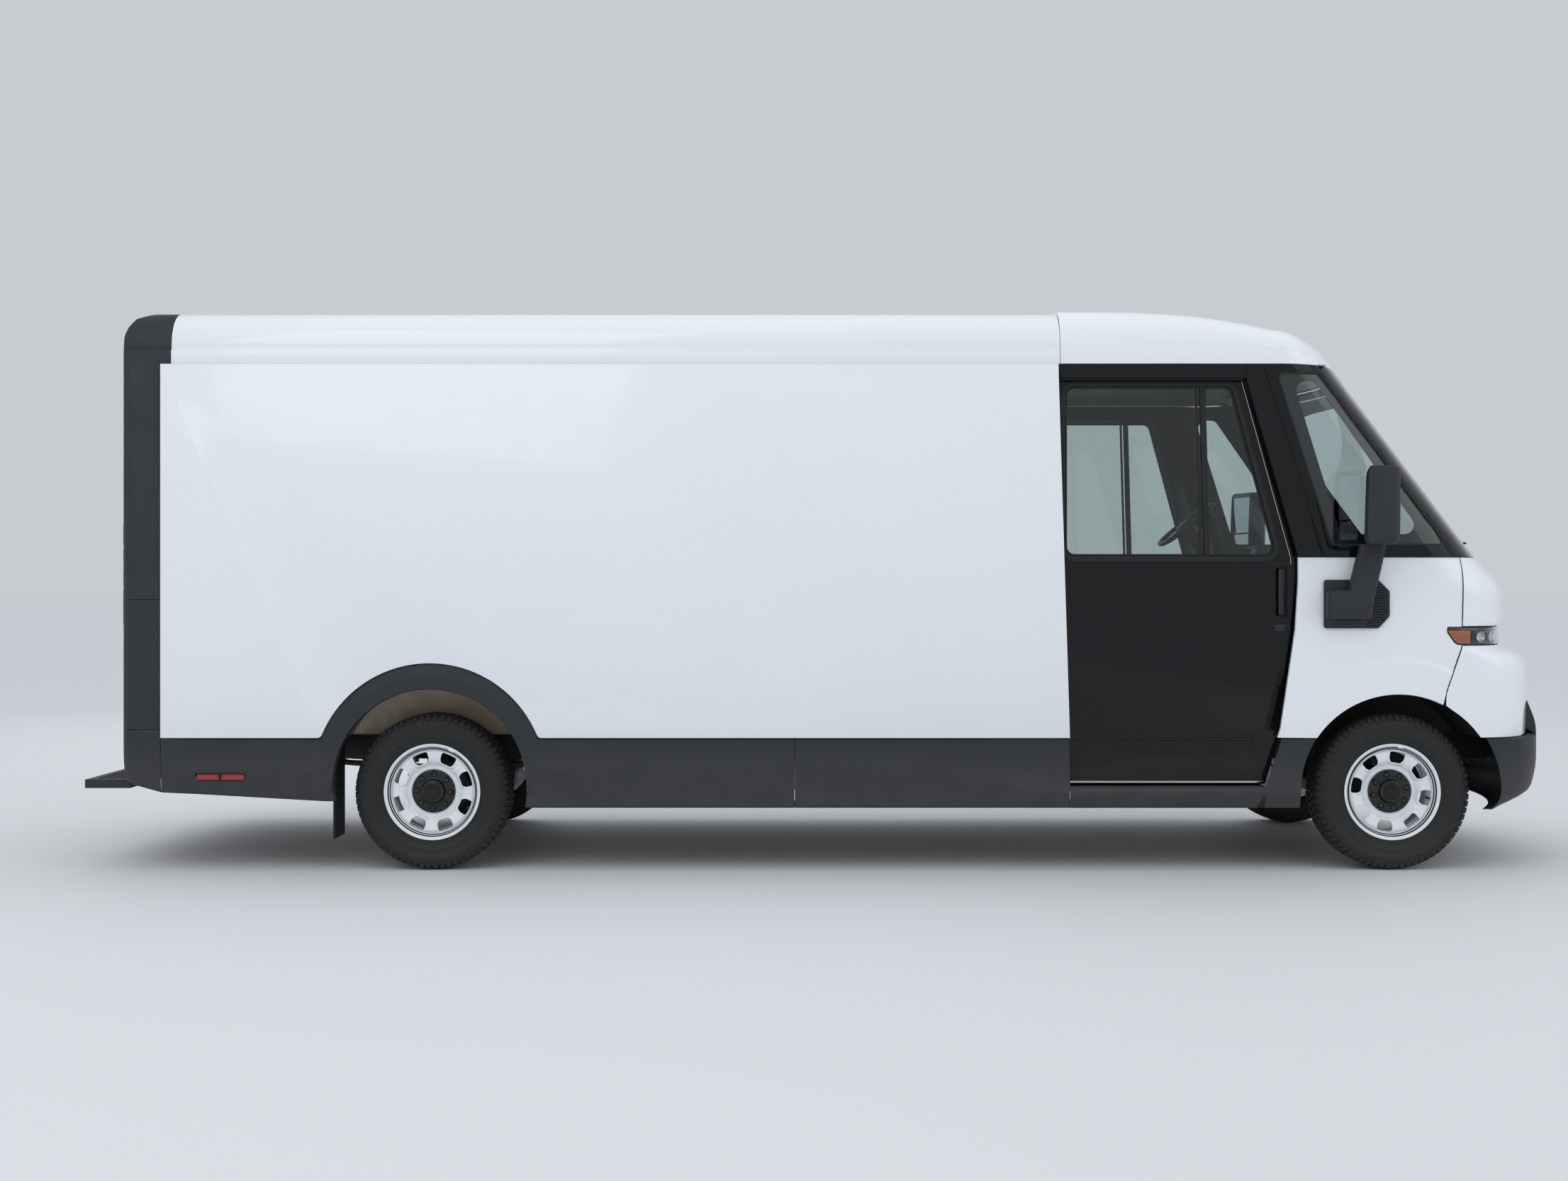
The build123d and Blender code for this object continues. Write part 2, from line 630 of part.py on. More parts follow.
# Rear beam axle with its drive unit, and a leaf spring under each rail
rear_beam = Cylinder(beam_radius, 2 * rear_house_in_y + 20) + Cylinder(spindle_radius, 2 * wheel_y + 30)
rear_beam += Cylinder(150, 420) + Pos(170, 0, 0) * Cylinder(110, 330)
for sign in (-1, 1):
    rear_beam += Pos(0, 0, sign * (rear_house_in_y + 30)) * Cylinder(140, 30)
beam = Pos(0, 0, axle_z) * Rot(X=90) * rear_beam
beam -= box(-400, 400, -400, 400, rail_low_z - 5, roof_z)
nodes["rear_axle"] = beam
leaf_low = axle_z + beam_radius
half_leaf = [(120, leaf_low), (540, rail_low_z - 30), (640, rail_low_z - 22), (640, rail_low_z),
             (560, rail_low_z), (520, rail_low_z - 12), (120, leaf_low + 34)]
leaf = across(face(half_leaf + [(-x, z) for x, z in reversed(half_leaf)]), rail_in_y + 5, rail_out_y - 5)
nodes["rear_springs"] = both_sides(leaf)

# Front suspension: cross member and two arms a side, which carry the kingpins
sub_half = rail_in_y - 70
tower_y = sub_half - 70
arm_end = kingpin_y + 30
sub = box(front_axle - 110, front_axle + 110, -sub_half, sub_half, 270, 330)
for sign in (-1, 1):
    tower = box(front_axle - 60, front_axle + 60, sign * tower_y, sign * sub_half, 330, 480)
    low_arm = box(front_axle - arm_half, front_axle + arm_half, sign * sub_half, sign * arm_end,
                  axle_z - pin_half - arm_wall, axle_z - pin_half)
    high_arm = box(front_axle - arm_half, front_axle + arm_half, sign * tower_y, sign * arm_end,
                   axle_z + pin_half, axle_z + pin_half + arm_wall)
    pin = Pos(front_axle, sign * kingpin_y, axle_z) * Cylinder(kingpin_radius, 2 * pin_half + 10)
    post = box(front_axle - 40, front_axle + 40, sign * rail_in_y, sign * (rail_out_y - 10),
               axle_z + pin_half + arm_wall, rail_low_z)
    sub = sub + tower + low_arm + high_arm + pin + post
nodes["front_suspension"] = sub

# Mud flaps behind the rear wheels
flap_front = -470
flap = box(flap_front - 10, flap_front, tyre_face - tyre_width - 5, ledge_y, 150, 620)
flap += box(flap_front - 30, flap_front, tyre_face - 180, clad_in_y, 560, 620)
nodes["mud_flaps"] = both_sides(flap)

# Sliding doors, each with a window and a recessed pull handle
door_rear = load_front + door_lap - 40
slide_outline = face([(door_rear, door_bottom_z), (door_rear, door_top_z + door_lap),
                      (door_edge[0][0] + door_lap, door_top_z + door_lap),
                      *[(x + door_lap, z) for x, z in door_edge[1:]]])
window_low_z, window_top_z = belt_z + 5, door_top_z - 37
window_outline = face([(cab_joint + 32, window_low_z), (cab_joint + 32, window_top_z),
                       *from_front([(-785, window_top_z), (-565, window_low_z)])], window_radius)
door_in_y = door_out_y - door_wall
door = across(slide_outline, door_in_y, door_out_y)
door -= across(window_outline, door_in_y - past, door_out_y + past)
divider = across(face(from_front([(-939, door_top_z), (-910, door_top_z), (-888, belt_z), (-917, belt_z)])),
                 door_out_y - 26, door_out_y)
door += divider & across(window_outline, 0, half_width)
handle_x = front_axle - 545
door -= box(handle_x - 23, handle_x + 23, door_out_y - handle_wall, door_out_y + past, handle_low_z,
            handle_top_z)
door += box(handle_x - 9, handle_x + 9, door_out_y - handle_wall, door_out_y - 3, handle_low_z, handle_top_z)
pane = across(window_outline, door_out_y - 20, door_out_y - 20 + glass_wall) - divider
nodes["door_left"] = door
nodes["door_right"] = other_side(door)
nodes["door_glass_left"] = pane
nodes["door_glass_right"] = other_side(pane)

# Steering knuckles: a sleeve round the kingpin and the spindle of the wheel
spindle_end = wheel_y + 15
knuckle = Pos(front_axle, kingpin_y, axle_z) * Cylinder(36, 2 * (pin_half - slide_gap))
knuckle += Pos(front_axle, (kingpin_y + spindle_end) / 2, axle_z) * Rot(X=90) * Cylinder(
    spindle_radius, spindle_end - kingpin_y)
knuckle -= Pos(front_axle, kingpin_y, axle_z) * Cylinder(kingpin_radius + slide_gap, 2 * pin_half)
nodes["knuckle_left"] = knuckle
nodes["knuckle_right"] = other_side(knuckle)

# Wheel parts, built about the Z axis with the street side up
disc_z = [(204, 56), (188, 74), (150, 68), (120, 45), (75, 45)]       # radius, height of the pressed disc
disc_wall = 9
cap_z = disc_z[-1][1]
window_half = [(141, 24), (160, 38), (199, 38)]                       # radius, half width of a window
lug_radius = 82


def make_rim():
    inside = seat_radius - barrel_wall
    barrel = turned([(inside, -rim_half), (rim_radius, -rim_half), (rim_radius, -rim_half + flange_wall),
                     (seat_radius, -rim_half + flange_wall), (seat_radius, rim_half - flange_wall),
                     (rim_radius, rim_half - flange_wall), (rim_radius, rim_half), (rim_radius - 8, rim_half),
                     (inside, 82)])
    plate = turned(disc_z + [(r, z - disc_wall) for r, z in reversed(disc_z)])
    bore = spindle_radius + slide_gap
    hub = turned([(bore, -hub_depth), (hub_radius, -hub_depth), (hub_radius, cap_z), (bore, cap_z)])
    rim = barrel + plate + hub
    window = face([(r, -y) for r, y in window_half] + [(r, y) for r, y in reversed(window_half)], 9)
    cutter = extrude(Pos(0, 0, 30) * window, 60)
    for i in range(window_count):
        rim -= Rot(Z=360 / window_count * i) * cutter
    return rim


def make_cap():
    cap = turned([(0, cap_z), (106, cap_z), (104, cap_z + 10), (58, cap_z + 14), (54, cap_z + 32),
                  (40, cap_z + 42), (0, cap_z + 44)])
    for i in range(window_count):
        cap -= Rot(Z=360 / window_count * (i + 0.5)) * Pos(lug_radius, 0, cap_z + 12) * Cylinder(11, 16)
    return cap


def make_tyre():
    half = tyre_width / 2
    bead = rim_half - flange_wall
    side = [(seat_radius, bead), (rim_radius + 4, bead), (285, half), (335, half - 5), (367, 91),
            (tyre_radius, 76)]
    return turned(side + [(r, -z) for r, z in reversed(side)])


rim, cap, tyre = make_rim(), make_cap(), make_tyre()
for end, x in (("rear", 0), ("front", front_axle)):
    for name, sign in (("left", 1), ("right", -1)):
        place = Pos(x, sign * wheel_y, axle_z) * Rot(Y=wheel_turn[end]) * Rot(X=-90 * sign)
        nodes[f"tyre_{end}_{name}"] = place * tyre
        nodes[f"rim_{end}_{name}"] = place * rim
        nodes[f"hub_cap_{end}_{name}"] = place * cap

# Export, with X = 0 at mid-length
shift = (rear_reach - wheelbase - front_reach) / 2
os.makedirs("parts", exist_ok=True)
for name, shape in nodes.items():
    solids = [*shape.solids()]
    whole = solids[0] if len(solids) == 1 else Compound(children=solids)
    export_step(Pos(shift, 0, 0) * whole, f"parts/{name}.step")
print("nodes", len(nodes), "shift", shift)
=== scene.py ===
import bpy
import json
from math import acos, atan2, cos, degrees, exp, hypot, pi, radians, sin, sqrt
from mathutils import Matrix, Vector


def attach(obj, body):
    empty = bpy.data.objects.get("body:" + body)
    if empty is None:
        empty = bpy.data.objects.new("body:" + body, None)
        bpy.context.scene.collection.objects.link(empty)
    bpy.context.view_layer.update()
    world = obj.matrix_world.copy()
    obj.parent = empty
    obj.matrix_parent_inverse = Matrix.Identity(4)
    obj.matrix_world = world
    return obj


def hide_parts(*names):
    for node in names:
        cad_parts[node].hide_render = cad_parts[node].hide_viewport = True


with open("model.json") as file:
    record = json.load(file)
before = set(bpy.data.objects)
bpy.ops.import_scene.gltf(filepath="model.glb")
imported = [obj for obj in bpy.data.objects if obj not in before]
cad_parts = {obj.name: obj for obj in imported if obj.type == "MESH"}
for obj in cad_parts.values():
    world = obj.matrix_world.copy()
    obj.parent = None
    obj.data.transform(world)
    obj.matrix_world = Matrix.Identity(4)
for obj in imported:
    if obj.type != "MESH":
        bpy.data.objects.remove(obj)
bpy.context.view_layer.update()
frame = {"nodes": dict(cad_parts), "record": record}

# Places are given in millimetres as on the drawing: X forward from the rear axle, Y to the left, Z up.
van = {
    "rearAxle": -1955, "frontAxle": 4650, "axleZ": 378, "bodyRear": -1485,
}
frontAxle = van["frontAxle"]


def at(x, y, z):
    return Vector(((x + van["rearAxle"]) / 1000, y / 1000, z / 1000))


# Selecting and finishing

# Only the given pieces selected, the first of them active
def only(*pieces):
    bpy.ops.object.select_all(action="DESELECT")
    for piece in pieces:
        piece.select_set(True)
    if pieces:
        bpy.context.view_layer.objects.active = pieces[0]


def editAll(piece):
    only(piece)
    bpy.ops.object.mode_set(mode="EDIT")
    bpy.ops.mesh.select_all(action="SELECT")


def outwards(piece, merge=0.00001):
    editAll(piece)
    bpy.ops.mesh.remove_doubles(threshold=merge)
    bpy.ops.mesh.normals_make_consistent(inside=False)
    bpy.ops.object.mode_set(mode="OBJECT")


# A modifier put on with its settings and applied at once
def applied(piece, kind, **settings):
    only(piece)
    modifier = piece.modifiers.new(kind.title(), kind)
    for key, value in settings.items():
        setattr(modifier, key, value)
    bpy.ops.object.modifier_apply(modifier=modifier.name)
    return piece


def bevelled(piece, width, segments=2, angle=28):
    return applied(piece, "BEVEL", width=width / 1000, segments=segments, limit_method="ANGLE",
                   angle_limit=radians(angle), use_clamp_overlap=True, miter_outer="MITER_ARC")


def smoothed(piece, angle=35):
    only(piece)
    bpy.ops.object.shade_smooth_by_angle(angle=radians(angle))
    return piece


# An open skin turned over if most of it faces the other way
def facing(piece, direction):
    total = Vector()
    for face in piece.data.polygons:
        total += face.normal * face.area
    if total.dot(direction) < 0:
        piece.data.flip_normals()
    return piece


def cut(piece, *cutters, solver="EXACT"):
    for cutter in cutters:
        applied(piece, "BOOLEAN", operation="DIFFERENCE", solver=solver, object=cutter)
        bpy.data.objects.remove(cutter)
    return piece


def joined(name, *pieces):
    only(*pieces)
    if len(pieces) > 1:
        bpy.ops.object.join()
    pieces[0].name = pieces[0].data.name = name
    return pieces[0]


# Only what lies inside the given forms is left
def clipped(piece, *forms):
    keep = joined("keep", *forms)
    applied(piece, "BOOLEAN", operation="INTERSECT", solver="FAST", object=keep)
    bpy.data.objects.remove(keep)
    return piece


def bothSides(piece):
    return applied(piece, "MIRROR", use_axis=(False, True, False), use_mirror_merge=False)


def copyOf(piece, name, matrix=None):
    twin = bpy.data.objects.new(name, piece.data.copy())
    bpy.context.collection.objects.link(twin)
    if matrix is not None:
        twin.data.transform(matrix)
        if matrix.determinant() < 0:
            twin.data.flip_normals()
    return twin


def otherSide(piece, name):
    return copyOf(piece, name, Matrix.Scale(-1, 4, (0, 1, 0)))


# A finished piece: its body and finish, and the nodes that it stands for
def rides(piece, body, finish, replaces=()):
    piece.data.materials.clear()
    piece.data.materials.append(finishes[finish])
    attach(piece, body)
    if replaces:
        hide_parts(*replaces)
    return piece


# Starting shapes

# A flat face: a circle whose rim is moved to the outline
def flatFace(name, outline):
    only()
    bpy.ops.mesh.primitive_circle_add(vertices=len(outline), radius=1, fill_type="NGON")
    piece = bpy.context.object
    piece.name = name
    for vertex, point in zip(piece.data.vertices, outline):
        vertex.co = point
    return piece


def plate(name, outline, depth, bevel=0, segments=2):
    piece = flatFace(name, outline)
    editAll(piece)
    bpy.ops.mesh.extrude_region_move(TRANSFORM_OT_translate={"value": Vector(depth) / 1000})
    bpy.ops.mesh.select_all(action="SELECT")
    bpy.ops.mesh.normals_make_consistent(inside=False)
    bpy.ops.object.mode_set(mode="OBJECT")
    if bevel:
        bevelled(piece, bevel, segments)
    return piece


# An outline seen from the side, given as X and Z, thick from y0 to y1
def sidePlate(name, outline, y0, y1, bevel=0, segments=2):
    return plate(name, [at(x, y0, z) for x, z in outline], (0, y1 - y0, 0), bevel, segments)


# The same, smoothed where its faces meet at less than the angle
def softPlate(name, outline, y0, y1, bevel=0, segments=2, angle=30):
    return smoothed(sidePlate(name, outline, y0, y1, bevel, segments), angle)


# An outline seen from the front, given as Y and Z, thick from x0 to x1
def frontPlate(name, outline, x0, x1, bevel=0):
    return plate(name, [at(x0, y, z) for y, z in outline], (x1 - x0, 0, 0), bevel)


# A rectangle with rounded corners, from its two ranges
def panelOutline(across, up, radius, steps=5):
    (a, b), (low, high) = across, up
    return rounded([(a, low), (b, low), (b, high), (a, high)], radius, steps)


# The same rectangle as a plate that faces the front
def frontPanel(name, across, up, through, radius, steps=5, bevel=0):
    return frontPlate(name, panelOutline(across, up, radius, steps), *through, bevel)


def block(name, x, y, z, bevel=2, segments=2):
    only()
    centre = at((x[0] + x[1]) / 2, (y[0] + y[1]) / 2, (z[0] + z[1]) / 2)
    bpy.ops.mesh.primitive_cube_add(size=1, location=(0, 0, 0))
    piece = bpy.context.object
    piece.name = name
    size = Vector((abs(x[1] - x[0]), abs(y[1] - y[0]), abs(z[1] - z[0]))) / 1000
    for vertex in piece.data.vertices:
        vertex.co = centre + Vector(vertex.co[i] * size[i] for i in range(3))
    return bevelled(piece, bevel, segments) if bevel else piece


# A skin: a grid whose points are placed by a function of u and v, each from 0 to 1
def skin(name, columns, rows, place):
    only()
    bpy.ops.mesh.primitive_grid_add(x_subdivisions=columns, y_subdivisions=rows, size=1)
    piece = bpy.context.object
    piece.name = name
    for vertex in piece.data.vertices:
        vertex.co = at(*place(vertex.co.x + 0.5, vertex.co.y + 0.5))
    return piece


# A skin through sections of ready points, all of equal count
def gridSkin(name, sections):
    columns, rows = len(sections) - 1, len(sections[0]) - 1
    return skin(name, columns, rows, lambda u, v: sections[round(u * columns)][round(v * rows)])


# Turned like a wheel about the origin, seen from the side
def turnedBy(outline, angle):
    return [(x * cos(angle) - z * sin(angle), x * sin(angle) + z * cos(angle)) for x, z in outline]


# A round section carried along a line of points
def tube(name, points, radius, closed=False, sides=4):
    line = bpy.data.curves.new(name, "CURVE")
    line.dimensions = "3D"
    line.bevel_depth = radius / 1000
    line.bevel_resolution = sides
    line.use_fill_caps = True
    spline = line.splines.new("POLY")
    spline.points.add(len(points) - 1)
    for spot, point in zip(spline.points, points):
        spot.co = (*point, 1)
    spline.use_cyclic_u = closed
    piece = bpy.data.objects.new(name, line)
    bpy.context.collection.objects.link(piece)
    only(piece)
    bpy.ops.object.convert(target="MESH")
    piece = bpy.context.object
    outwards(piece)
    return smoothed(piece, 50)


# A closed half section of radius and length, turned round an axle along Y
def spun(name, profile, centre, steps=96):
    only()
    bpy.ops.mesh.primitive_circle_add(vertices=len(profile), radius=1, fill_type="NOTHING")
    piece = bpy.context.object
    piece.name = name
    x, y, z = centre
    for vertex, (radius, length) in zip(piece.data.vertices, profile):
        vertex.co = at(x + radius, y + length, z)
    editAll(piece)
    bpy.ops.mesh.spin(steps=steps, angle=2 * pi, center=at(*centre), axis=(0, 1, 0), use_auto_merge=True)
    bpy.ops.object.mode_set(mode="OBJECT")
    outwards(piece)
    return piece


# Copies of a piece set round an axle along Y, as one mesh
def ringOf(piece, count, centre):
    editAll(piece)
    bpy.ops.mesh.spin(steps=count - 1, dupli=True, angle=2 * pi * (count - 1) / count, center=at(*centre),
                      axis=(0, 1, 0))
    bpy.ops.object.mode_set(mode="OBJECT")
    return piece


# An outline with its corners rounded: each point is X, Z and radius, or takes the common radius
def rounded(points, radius, steps=6):
    outline = []
    for i, point in enumerate(points):
        x, z = point[:2]
        r = point[2] if len(point) > 2 else radius
        corner = Vector((x, z))
        before = Vector(points[i - 1][:2]) - corner
        after = Vector(points[(i + 1) % len(points)][:2]) - corner
        half = before.angle(after) / 2
        if r < 0.01 or half > pi / 2 - 0.01:
            outline.append((x, z))
            continue
        reach = r / sin(half)
        bisector = (before.normalized() + after.normalized()).normalized()
        centre = corner + bisector * reach
        start = corner + before.normalized() * (r / (sin(half) / cos(half))) - centre
        end = corner + after.normalized() * (r / (sin(half) / cos(half))) - centre
        turn = start.angle_signed(end)
        for step in range(steps + 1):
            a = -turn * step / steps
            outline.append((centre.x + start.x * cos(a) - start.y * sin(a),
                            centre.y + start.x * sin(a) + start.y * cos(a)))
    return outline


def mix(a, b, t):
    return a + (b - a) * t


def spread(low, high, count):
    return [mix(low, high, i / count) for i in range(count + 1)]


def ease(t):
    t = min(max(t, 0), 1)
    return t * t * (3 - 2 * t)


# A smooth line through rows of numbers, read at the first column
def along(rows, key, column=1):
    if key <= rows[0][0]:
        return rows[0][column]
    if key >= rows[-1][0]:
        return rows[-1][column]
    for i in range(len(rows) - 1):
        if rows[i][0] <= key <= rows[i + 1][0]:
            break
    a, b = rows[i], rows[i + 1]
    width = b[0] - a[0]
    slope = (b[column] - a[column]) / width
    before = (a[column] - rows[i - 1][column]) / (a[0] - rows[i - 1][0]) if i else slope
    after = ((rows[i + 2][column] - b[column]) / (rows[i + 2][0] - b[0])) if i + 2 < len(rows) else slope
    startSlope = 0 if before * slope <= 0 else 2 * before * slope / (before + slope)
    endSlope = 0 if after * slope <= 0 else 2 * after * slope / (after + slope)
    t = (key - a[0]) / width
    return ((2 * t ** 3 - 3 * t ** 2 + 1) * a[column] + (t ** 3 - 2 * t ** 2 + t) * width * startSlope
            + (3 * t ** 2 - 2 * t ** 3) * b[column] + (t ** 3 - t ** 2) * width * endSlope)


# Finishes

def linear(hexColour):
    parts = [int(hexColour[i:i + 2], 16) / 255 for i in (1, 3, 5)]
    return (*[p / 12.92 if p <= 0.04045 else ((p + 0.055) / 1.055) ** 2.4 for p in parts], 1)


def addNode(tree, kind, settings=None, links=None):
    node = tree.nodes.new("ShaderNode" + kind)
    for key, value in (settings or {}).items():
        if isinstance(key, str) and hasattr(node, key):
            setattr(node, key, value)
        else:
            node.inputs[key].default_value = value
    for key, source in (links or {}).items():
        tree.links.new(source, node.inputs[key])
    return node


# Sizes are in millimetres. Fine grain is drawn a few times coarser than life, so that it shows. A look has
# two colours mixed in patches, a range of roughness, one pattern for its bump, and road dust that thins out
# from dustLow up to dustTop.
looks = {
    # two-pack enamel sprayed on sheet: a deep wet gloss with a faint orange peel
    "whiteEnamel": {"colour": "#EDF1F5", "second": "#E6EBF0", "patch": 900, "rough": (0.16, 0.26),
                    "coat": 0.6, "bump": "Noise", "grain": 9, "height": 0.05,
                    "dust": "#B9B2A4", "dustTop": 760, "dustLow": 560, "dustMost": 0.22},
    # one coat of enamel on aluminium slats: a greyer white with a half gloss
    "whiteDoorEnamel": {"colour": "#E3E7EA", "second": "#D9DDE0", "patch": 500, "rough": (0.3, 0.42),
                        "coat": 0.2, "bump": "Noise", "grain": 9, "height": 0.05},
    # powder coat baked on pressed steel: soft gloss, thicker peel
    "rimPowderCoat": {"colour": "#EEF2F6", "second": "#E2E7EC", "patch": 160, "rough": (0.22, 0.34),
                      "coat": 0.35, "bump": "Noise", "grain": 5, "height": 0.05,
                      "dust": "#A59B8B", "dustTop": 520, "dustLow": 150, "dustMost": 0.16},
    # moulded polypropylene with a leather-like grain: matte, a little chalky where it weathers
    "grainedPolypropylene": {"colour": "#1E2226", "second": "#262A2F", "patch": 420, "rough": (0.5, 0.66),
                             "bump": "Voronoi", "grain": 4.5, "height": 0.22,
                             "dust": "#77746E", "dustTop": 620, "dustLow": 300, "dustMost": 0.3},
    # acrylic capped sheet: near black, smooth, with sharp but weak reflections
    "glossAcrylic": {"colour": "#0B0C0E", "second": "#111316", "patch": 600, "rough": (0.05, 0.12),
                     "spec": 0.3, "bump": "Noise", "grain": 90, "height": 0.05,
                     "dust": "#6B6459", "dustTop": 900, "dustLow": 420, "dustMost": 0.06},
    # nylon moulded in a fine spark-eroded tool: black with a broad soft highlight
    "satinBlackPlastic": {"colour": "#15171A", "second": "#1C1E22", "patch": 120, "rough": (0.32, 0.45),
                          "bump": "Noise", "grain": 3, "height": 0.05},
    # nylon moulded in a polished tool: a black that shines like the real hub caps
    "capPlastic": {"colour": "#0D0E10", "second": "#141518", "patch": 60, "rough": (0.16, 0.26),
                   "bump": "Noise", "grain": 4, "height": 0.03},
    # ABS of the dashboard, moulded with a leather grain: dark grey with no shine that would dazzle
    "cabPlastic": {"colour": "#2A2C30", "second": "#33363A", "patch": 260, "rough": (0.55, 0.68),
                   "bump": "Voronoi", "grain": 4, "height": 0.16},
    # vacuum-formed trim sheet: light grey, dull, its grain flattened by the forming
    "greyTrimPlastic": {"colour": "#8E8F8F", "second": "#82847F", "patch": 300, "rough": (0.5, 0.62),
                        "bump": "Voronoi", "grain": 4, "height": 0.1},
    # extruded and moulded rubber of seals and flaps: soft black that drinks the light
    "mouldedRubber": {"colour": "#141416", "second": "#1D1D1F", "patch": 80, "rough": (0.6, 0.75),
                      "bump": "Noise", "grain": 2.5, "height": 0.1},
    # vulcanised tyre rubber: a brown-grey bloom over black, dull
    "tyreRubber": {"colour": "#1A1B1D", "second": "#252524", "patch": 70, "rough": (0.68, 0.85),
                   "bump": "Noise", "grain": 2.2, "height": 0.18,
                   "dust": "#5B554C", "dustTop": 300, "dustLow": 20, "dustMost": 0.3},
    # dip-primed and sprayed steel: satin black, stone dust low down
    "dippedSteel": {"colour": "#1B1C1E", "second": "#26262A", "patch": 130, "rough": (0.4, 0.6),
                    "bump": "Noise", "grain": 6, "height": 0.1,
                    "dust": "#55504A", "dustTop": 600, "dustLow": 200, "dustMost": 0.35},
    # mill finish aluminium sheet: a soft metal sheen with rolled streaks
    "rolledAluminium": {"colour": "#B9B6B0", "second": "#A39F98", "patch": 160, "rough": (0.32, 0.5),
                        "metal": 1.0, "stretch": (1, 1, 18), "bump": "Noise", "grain": 3, "height": 0.05},
    # hot-dip galvanised steel gone brown with road film: dull metal with a cloudy surface
    "galvanisedSteel": {"colour": "#B5A995", "second": "#8F8473", "patch": 120, "rough": (0.42, 0.6),
                        "metal": 0.55, "bump": "Noise", "grain": 14, "height": 0.15},
    # polished stainless steel: a bright line with clear highlights
    "brightSteel": {"colour": "#D5D6D6", "second": "#C4C5C6", "patch": 60, "rough": (0.16, 0.26),
                    "metal": 1.0, "bump": "Noise", "grain": 2, "height": 0.02},
    # silvered glass: a clean reflection, with a film that barely dims it
    "mirrorGlass": {"colour": "#C7CCD0", "second": "#BFC5CA", "patch": 200, "rough": (0.02, 0.05),
                    "metal": 1.0, "bump": "Noise", "grain": 80, "height": 0.01},
    # composite liner board: warm grey with flecks
    "linerBoard": {"colour": "#B4B4AF", "second": "#9D9D98", "patch": 9, "rough": (0.5, 0.62),
                   "bump": "Noise", "grain": 7, "height": 0.08},
    # calendered floor rubber with raised studs: dark, each stud catching a little light
    "studdedRubber": {"colour": "#232427", "second": "#2D2E31", "patch": 300, "rough": (0.6, 0.75),
                      "bump": "Voronoi", "grain": 24, "height": 0.8},
    # injection moulded acrylic lenses: deep clear colour over fine flutes
    "redAcrylic": {"colour": "#8E0B12", "second": "#A3161A", "patch": 30, "rough": (0.08, 0.14), "coat": 0.6,
                   "bump": "Wave", "grain": 9, "height": 0.5},
    "amberAcrylic": {"colour": "#D9680B", "second": "#C25208", "patch": 30, "rough": (0.08, 0.14),
                     "coat": 0.6, "bump": "Wave", "grain": 8, "height": 0.5},
    # vacuum metallised plastic: near mirror, broken up by its facets
    "chromedReflector": {"colour": "#D9DBDD", "second": "#C9CCCF", "patch": 40, "rough": (0.06, 0.12),
                         "metal": 1.0, "bump": "Wave", "grain": 16, "height": 0.6},
}
waveWidth = 6.3          # a wave texture of scale 1 has about so many half waves in one unit


def makeFinish(name, look):
    material = bpy.data.materials.new(name)
    material.use_nodes = True
    tree = material.node_tree
    shader = tree.nodes["Principled BSDF"]
    place = addNode(tree, "TexCoord").outputs["Object"]
    if "stretch" in look:
        place = addNode(tree, "Mapping", {"Scale": look["stretch"]}, {"Vector": place}).outputs["Vector"]
    cloud = addNode(tree, "TexNoise", {"Scale": 1000 / look["patch"], "Detail": 5, "Roughness": 0.6},
                    {"Vector": place}).outputs["Fac"]
    colour = addNode(tree, "MixRGB", {"Color1": linear(look["colour"]), "Color2": linear(look["second"])},
                     {"Fac": cloud}).outputs["Color"]
    fine = addNode(tree, "TexNoise", {"Scale": 4000 / look["patch"], "Detail": 6},
                   {"Vector": place}).outputs["Fac"]
    low, high = look["rough"]
    rough = addNode(tree, "MapRange", {"From Min": 0.3, "From Max": 0.7, "To Min": low, "To Max": high},
                    {"Value": fine}).outputs["Result"]
    if "dust" in look:          # road dust gathers near the ground
        height = addNode(tree, "SeparateXYZ", None, {"Vector": place}).outputs["Z"]
        near = addNode(tree, "MapRange", {"From Min": look["dustLow"] / 1000, "To Min": look["dustMost"],
                                          "From Max": look["dustTop"] / 1000, "To Max": 0.0},
                       {"Value": height})
        share = addNode(tree, "Math", {"operation": "MULTIPLY"}, {0: near.outputs["Result"], 1: fine})
        colour = addNode(tree, "MixRGB", {"Color2": linear(look["dust"])},
                         {"Fac": share.outputs["Value"], "Color1": colour}).outputs["Color"]
    kind = look["bump"]
    settings = {"Scale": 1000 / look["grain"]}
    if kind == "Noise":
        settings["Detail"] = 3
    if kind == "Wave":
        settings = {"Scale": 1000 / look["grain"] / waveWidth, "Distortion": 0.4}
    pattern = addNode(tree, "Tex" + kind, settings, {"Vector": place})
    output = pattern.outputs["Distance" if kind == "Voronoi" else "Fac"]
    bump = addNode(tree, "Bump", {"Strength": 0.6, "Distance": look["height"] / 1000}, {"Height": output})
    tree.links.new(colour, shader.inputs["Base Color"])
    tree.links.new(rough, shader.inputs["Roughness"])
    tree.links.new(bump.outputs["Normal"], shader.inputs["Normal"])
    shader.inputs["Metallic"].default_value = look.get("metal", 0.0)
    shader.inputs["Coat Weight"].default_value = look.get("coat", 0.0)
    shader.inputs["Coat Roughness"].default_value = 0.04
    shader.inputs["Specular IOR Level"].default_value = look.get("spec", 0.5)
    shader.inputs["IOR"].default_value = 1.5
    return material


